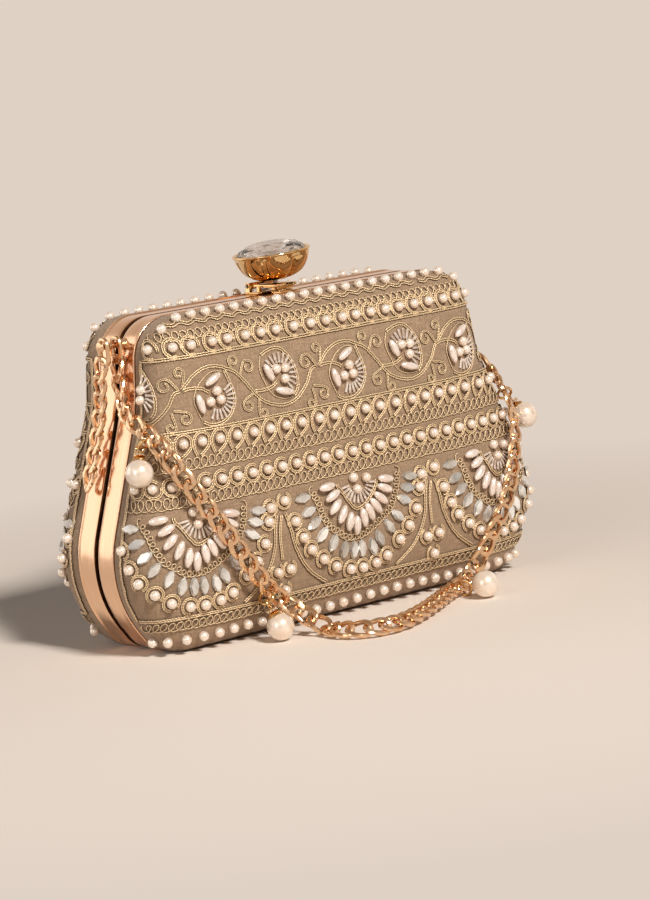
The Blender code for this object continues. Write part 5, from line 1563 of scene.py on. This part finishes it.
def add_rondelle(gold, glass, matrix):
    """Two gold rims and ten crystals between them."""
    for height in (-2.65, -3.55):
        spin_profile(gold, RIM_SIDE, 24, matrix @ Matrix.Translation((0, 0, height * MM)))
    for index in range(10):
        turn = matrix @ Matrix.Rotation(2 * math.pi * index / 10, 4, "Z")
        spot = turn @ Matrix.Translation((1.75 * MM, 0, -RONDELLE_DROP * MM))
        spot = spot @ Matrix.Rotation(math.pi / 2, 4, "Y")
        bmesh.ops.create_cone(glass, cap_ends=True, segments=8, radius1=0.62 * MM,
                              radius2=0.3 * MM, depth=0.9 * MM, matrix=spot)


def middle_of(node_name):
    """The mean of the corners of a CAD piece, in the seam's axes, in mm."""
    corners = {tuple(round(c, 6) for c in v.co) for v in frame["nodes"][node_name].data.vertices}
    total = sum((Vector(corner) for corner in corners), Vector())
    return (total / len(corners) - Vector((0.0, SEAM_Y, 0.0))) / MM


def charm_places(prefix, axis):
    """The matrices of a charm's jump ring and of its drop."""
    along = Vector(axis).normalized()
    ring_centre, rondelle, pearl = (
        middle_of(prefix + part) for part in ("ring", "rondelle", "pearl"))
    drop = (pearl - rondelle).normalized()
    facing = along.cross(drop).normalized()
    ring = axes_matrix(along.cross(facing), along, facing, ring_centre)
    return ring, axes_matrix(facing.cross(-drop), facing, -drop, rondelle - drop * RONDELLE_DROP)


CHARM_AXES = {j["name"]: j["axis"] for j in frame["joints"] if j["name"].startswith("charm_")}
for number, (joint_name, joint_axis) in enumerate(sorted(CHARM_AXES.items()), 1):
    body, prefix = f"charm_{number}", f"charm_{number}_"
    ring_place, drop = charm_places(prefix, joint_axis)
    ring = bmesh.new()
    add_torus(ring, RING_RADIUS, RING_WIRE, ring_place)
    add_piece(prefix + "jump_ring", ring, YELLOW_GOLD, body, "yellow_gold_plate",
              [prefix + "ring"], sharp=60)
    gold, glass = bmesh.new(), bmesh.new()
    add_torus(gold, LOOP_RADIUS, LOOP_WIRE, drop, 20, 8)
    spin_profile(gold, CAP_SIDE, 24, drop)
    add_piece(prefix + "bail_and_cap", gold, YELLOW_GOLD, body, "yellow_gold_plate",
              [prefix + "cap"], sharp=50)
    rims = bmesh.new()
    add_rondelle(rims, glass, drop)
    add_piece(prefix + "rondelle_rims", rims, YELLOW_GOLD, body, "yellow_gold_plate",
              [prefix + "rondelle"], sharp=50)
    add_piece(prefix + "rondelle_crystals", glass, FOILED_STONE, body, "cut_crystal", sharp=0)
    ball = bmesh.new()
    bmesh.ops.create_uvsphere(ball, u_segments=40, v_segments=24, radius=PEARL_SIZE * MM,
                              matrix=drop @ Matrix.Translation((0, 0, -PEARL_DROP * MM)))
    add_piece(prefix + "round_pearl", ball, PEARL, body, "glass_pearl", [prefix + "pearl"])
    print(joint_name, "hangs at", [round(c / MM) for c in drop.translation])

# %% [markdown]
# ## Floor, backdrop and lights
# The bag stands on a pale, plain surface. The floor is diffuse near the bag, so that it takes the
# bag's shadow, and fades to the backdrop's even colour further out, for the camera and for what
# metal and glass reflect. The world is the same colour to those rays and a soft, dim fill to the
# rest, and it darkens towards the ceiling, so that polished metal has something dark to mirror.
# One lamp in front and above makes the highlights, and weaker ones fill from the left and back.

# %% Floor and backdrop
BACKDROP, FLOOR_COLOUR = "#E0D1C5", "#EFE3D8"
FADE_START, FADE_END = 0.17, 0.42  # metres from the bag
FILL_STRENGTH, CEILING, CEILING_START, CEILING_END = 0.12, "#A08C7A", 0.42, 0.9


def seen_directly(material_or_world):
    """1 for camera, glossy and transmission rays, and 0 for diffuse ones."""
    path = add_node(material_or_world, "ShaderNodeLightPath")
    glossy = add_node(material_or_world, "ShaderNodeMath",
                      {0: path.outputs["Is Camera Ray"], 1: path.outputs["Is Glossy Ray"]},
                      operation="MAXIMUM")
    return add_node(material_or_world, "ShaderNodeMath",
                    {0: glossy.outputs[0], 1: path.outputs["Is Transmission Ray"]},
                    operation="MAXIMUM").outputs[0]


floor_paint, floor_shader = start_material("matt_paper_floor", Roughness=0.9)
floor_shader.inputs["Base Color"].default_value = linear(FLOOR_COLOUR)
floor_shader.inputs["Specular IOR Level"].default_value = 0.1
glow = add_node(floor_paint, "ShaderNodeEmission", {"Color": linear(BACKDROP)})
where = add_node(floor_paint, "ShaderNodeTexCoord").outputs["Object"]
far = add_node(floor_paint, "ShaderNodeVectorMath", {0: where}, operation="LENGTH")
fade = add_node(floor_paint, "ShaderNodeMapRange", {
    "Value": far.outputs["Value"], "From Min": FADE_START, "From Max": FADE_END})
shown = add_node(floor_paint, "ShaderNodeMath", {
    0: fade.outputs[0], 1: seen_directly(floor_paint)}, operation="MULTIPLY")
surface = add_node(floor_paint, "ShaderNodeMixShader", {
    0: shown.outputs[0], 1: floor_shader.outputs[0], 2: glow.outputs[0]})
output = floor_paint.node_tree.nodes["Material Output"]
floor_paint.node_tree.links.new(surface.outputs[0], output.inputs["Surface"])

ground = bmesh.new()
bmesh.ops.create_circle(ground, cap_ends=True, segments=96, radius=4.0)
floor = link_object("floor", finish_mesh("floor", ground))
floor.data.materials.append(floor_paint)

world = bpy.data.worlds.new("studio")
world.use_nodes = True
bpy.context.scene.world = world
backdrop = world.node_tree.nodes["Background"]
backdrop.inputs["Color"].default_value = linear(BACKDROP)
seen = seen_directly(world)
strength = add_node(world, "ShaderNodeMapRange", {"Value": seen, "To Min": FILL_STRENGTH})
world.node_tree.links.new(strength.outputs[0], backdrop.inputs["Strength"])
skyward = add_node(world, "ShaderNodeSeparateXYZ", {
    0: add_node(world, "ShaderNodeTexCoord").outputs["Generated"]})
ceiling = add_node(world, "ShaderNodeMapRange", {
    "Value": skyward.outputs["Z"], "From Min": CEILING_START, "From Max": CEILING_END})
dimmed = add_node(world, "ShaderNodeMath", {0: ceiling.outputs[0], 1: seen}, operation="MULTIPLY")
sky = add_node(world, "ShaderNodeMix", {
    0: dimmed.outputs[0], 6: linear(BACKDROP), 7: linear(CEILING)}, data_type="RGBA")
world.node_tree.links.new(sky.outputs[2], backdrop.inputs["Color"])
print("floor radius 4 m")

# %% Lamps and dark cards
def add_lamp(name, place, target, size, power, colour="#FFFFFF"):
    lamp = bpy.data.lights.new(name, "AREA")
    lamp.shape = "RECTANGLE"
    lamp.size, lamp.size_y = size
    lamp.energy = power
    lamp.color = linear(colour)[:3]
    item = link_object(name, lamp)
    aim = (Vector(target) - Vector(place)).to_track_quat("-Z", "Y")
    item.matrix_world = Matrix.Translation(place) @ aim.to_matrix().to_4x4()


def add_card(name, centre, facing, size, colour):
    """A plain card that only glossy rays see, so that polished metal has something to mirror."""
    card_paint, card_shader = start_material(name + "_paper", Roughness=1.0)
    card_shader.inputs["Base Color"].default_value = linear(colour)
    card = bmesh.new()
    bmesh.ops.create_grid(card, x_segments=1, y_segments=1, size=0.5)
    bmesh.ops.scale(card, verts=card.verts, vec=(*size, 1.0))
    aim = (Vector(facing) - Vector(centre)).to_track_quat("Z", "Y").to_matrix().to_4x4()
    bmesh.ops.transform(card, matrix=Matrix.Translation(centre) @ aim, verts=card.verts)
    item = link_object(name, finish_mesh(name, card))
    item.data.materials.append(card_paint)
    item.visible_camera = item.visible_diffuse = item.visible_shadow = False


HEART = (0.0, SEAM_Y, 0.06)
add_lamp("key_light", (-0.15, -1.95, 1.77), HEART, (0.45, 0.45), 68.0, "#FFFBF5")
add_lamp("left_fill", (-1.5, -0.4, 0.6), HEART, (0.8, 0.8), 4.0)
add_lamp("back_light", (-1.1, 1.35, 0.55), HEART, (1.3, 1.3), 4.5)
add_card("dark_card_front", (-0.80, -0.95, 0.10), HEART, (0.55, 0.35), "#1D140D")
add_card("dark_card_right", (0.75, -0.75, 0.30), HEART, (0.30, 0.80), "#1B1410")
add_card("dark_card_left", (-1.05, -0.10, 0.25), HEART, (0.20, 0.60), "#1B1410")
bpy.context.scene.view_settings.view_transform = "Standard"
print("lamps: 3, cards: 3")

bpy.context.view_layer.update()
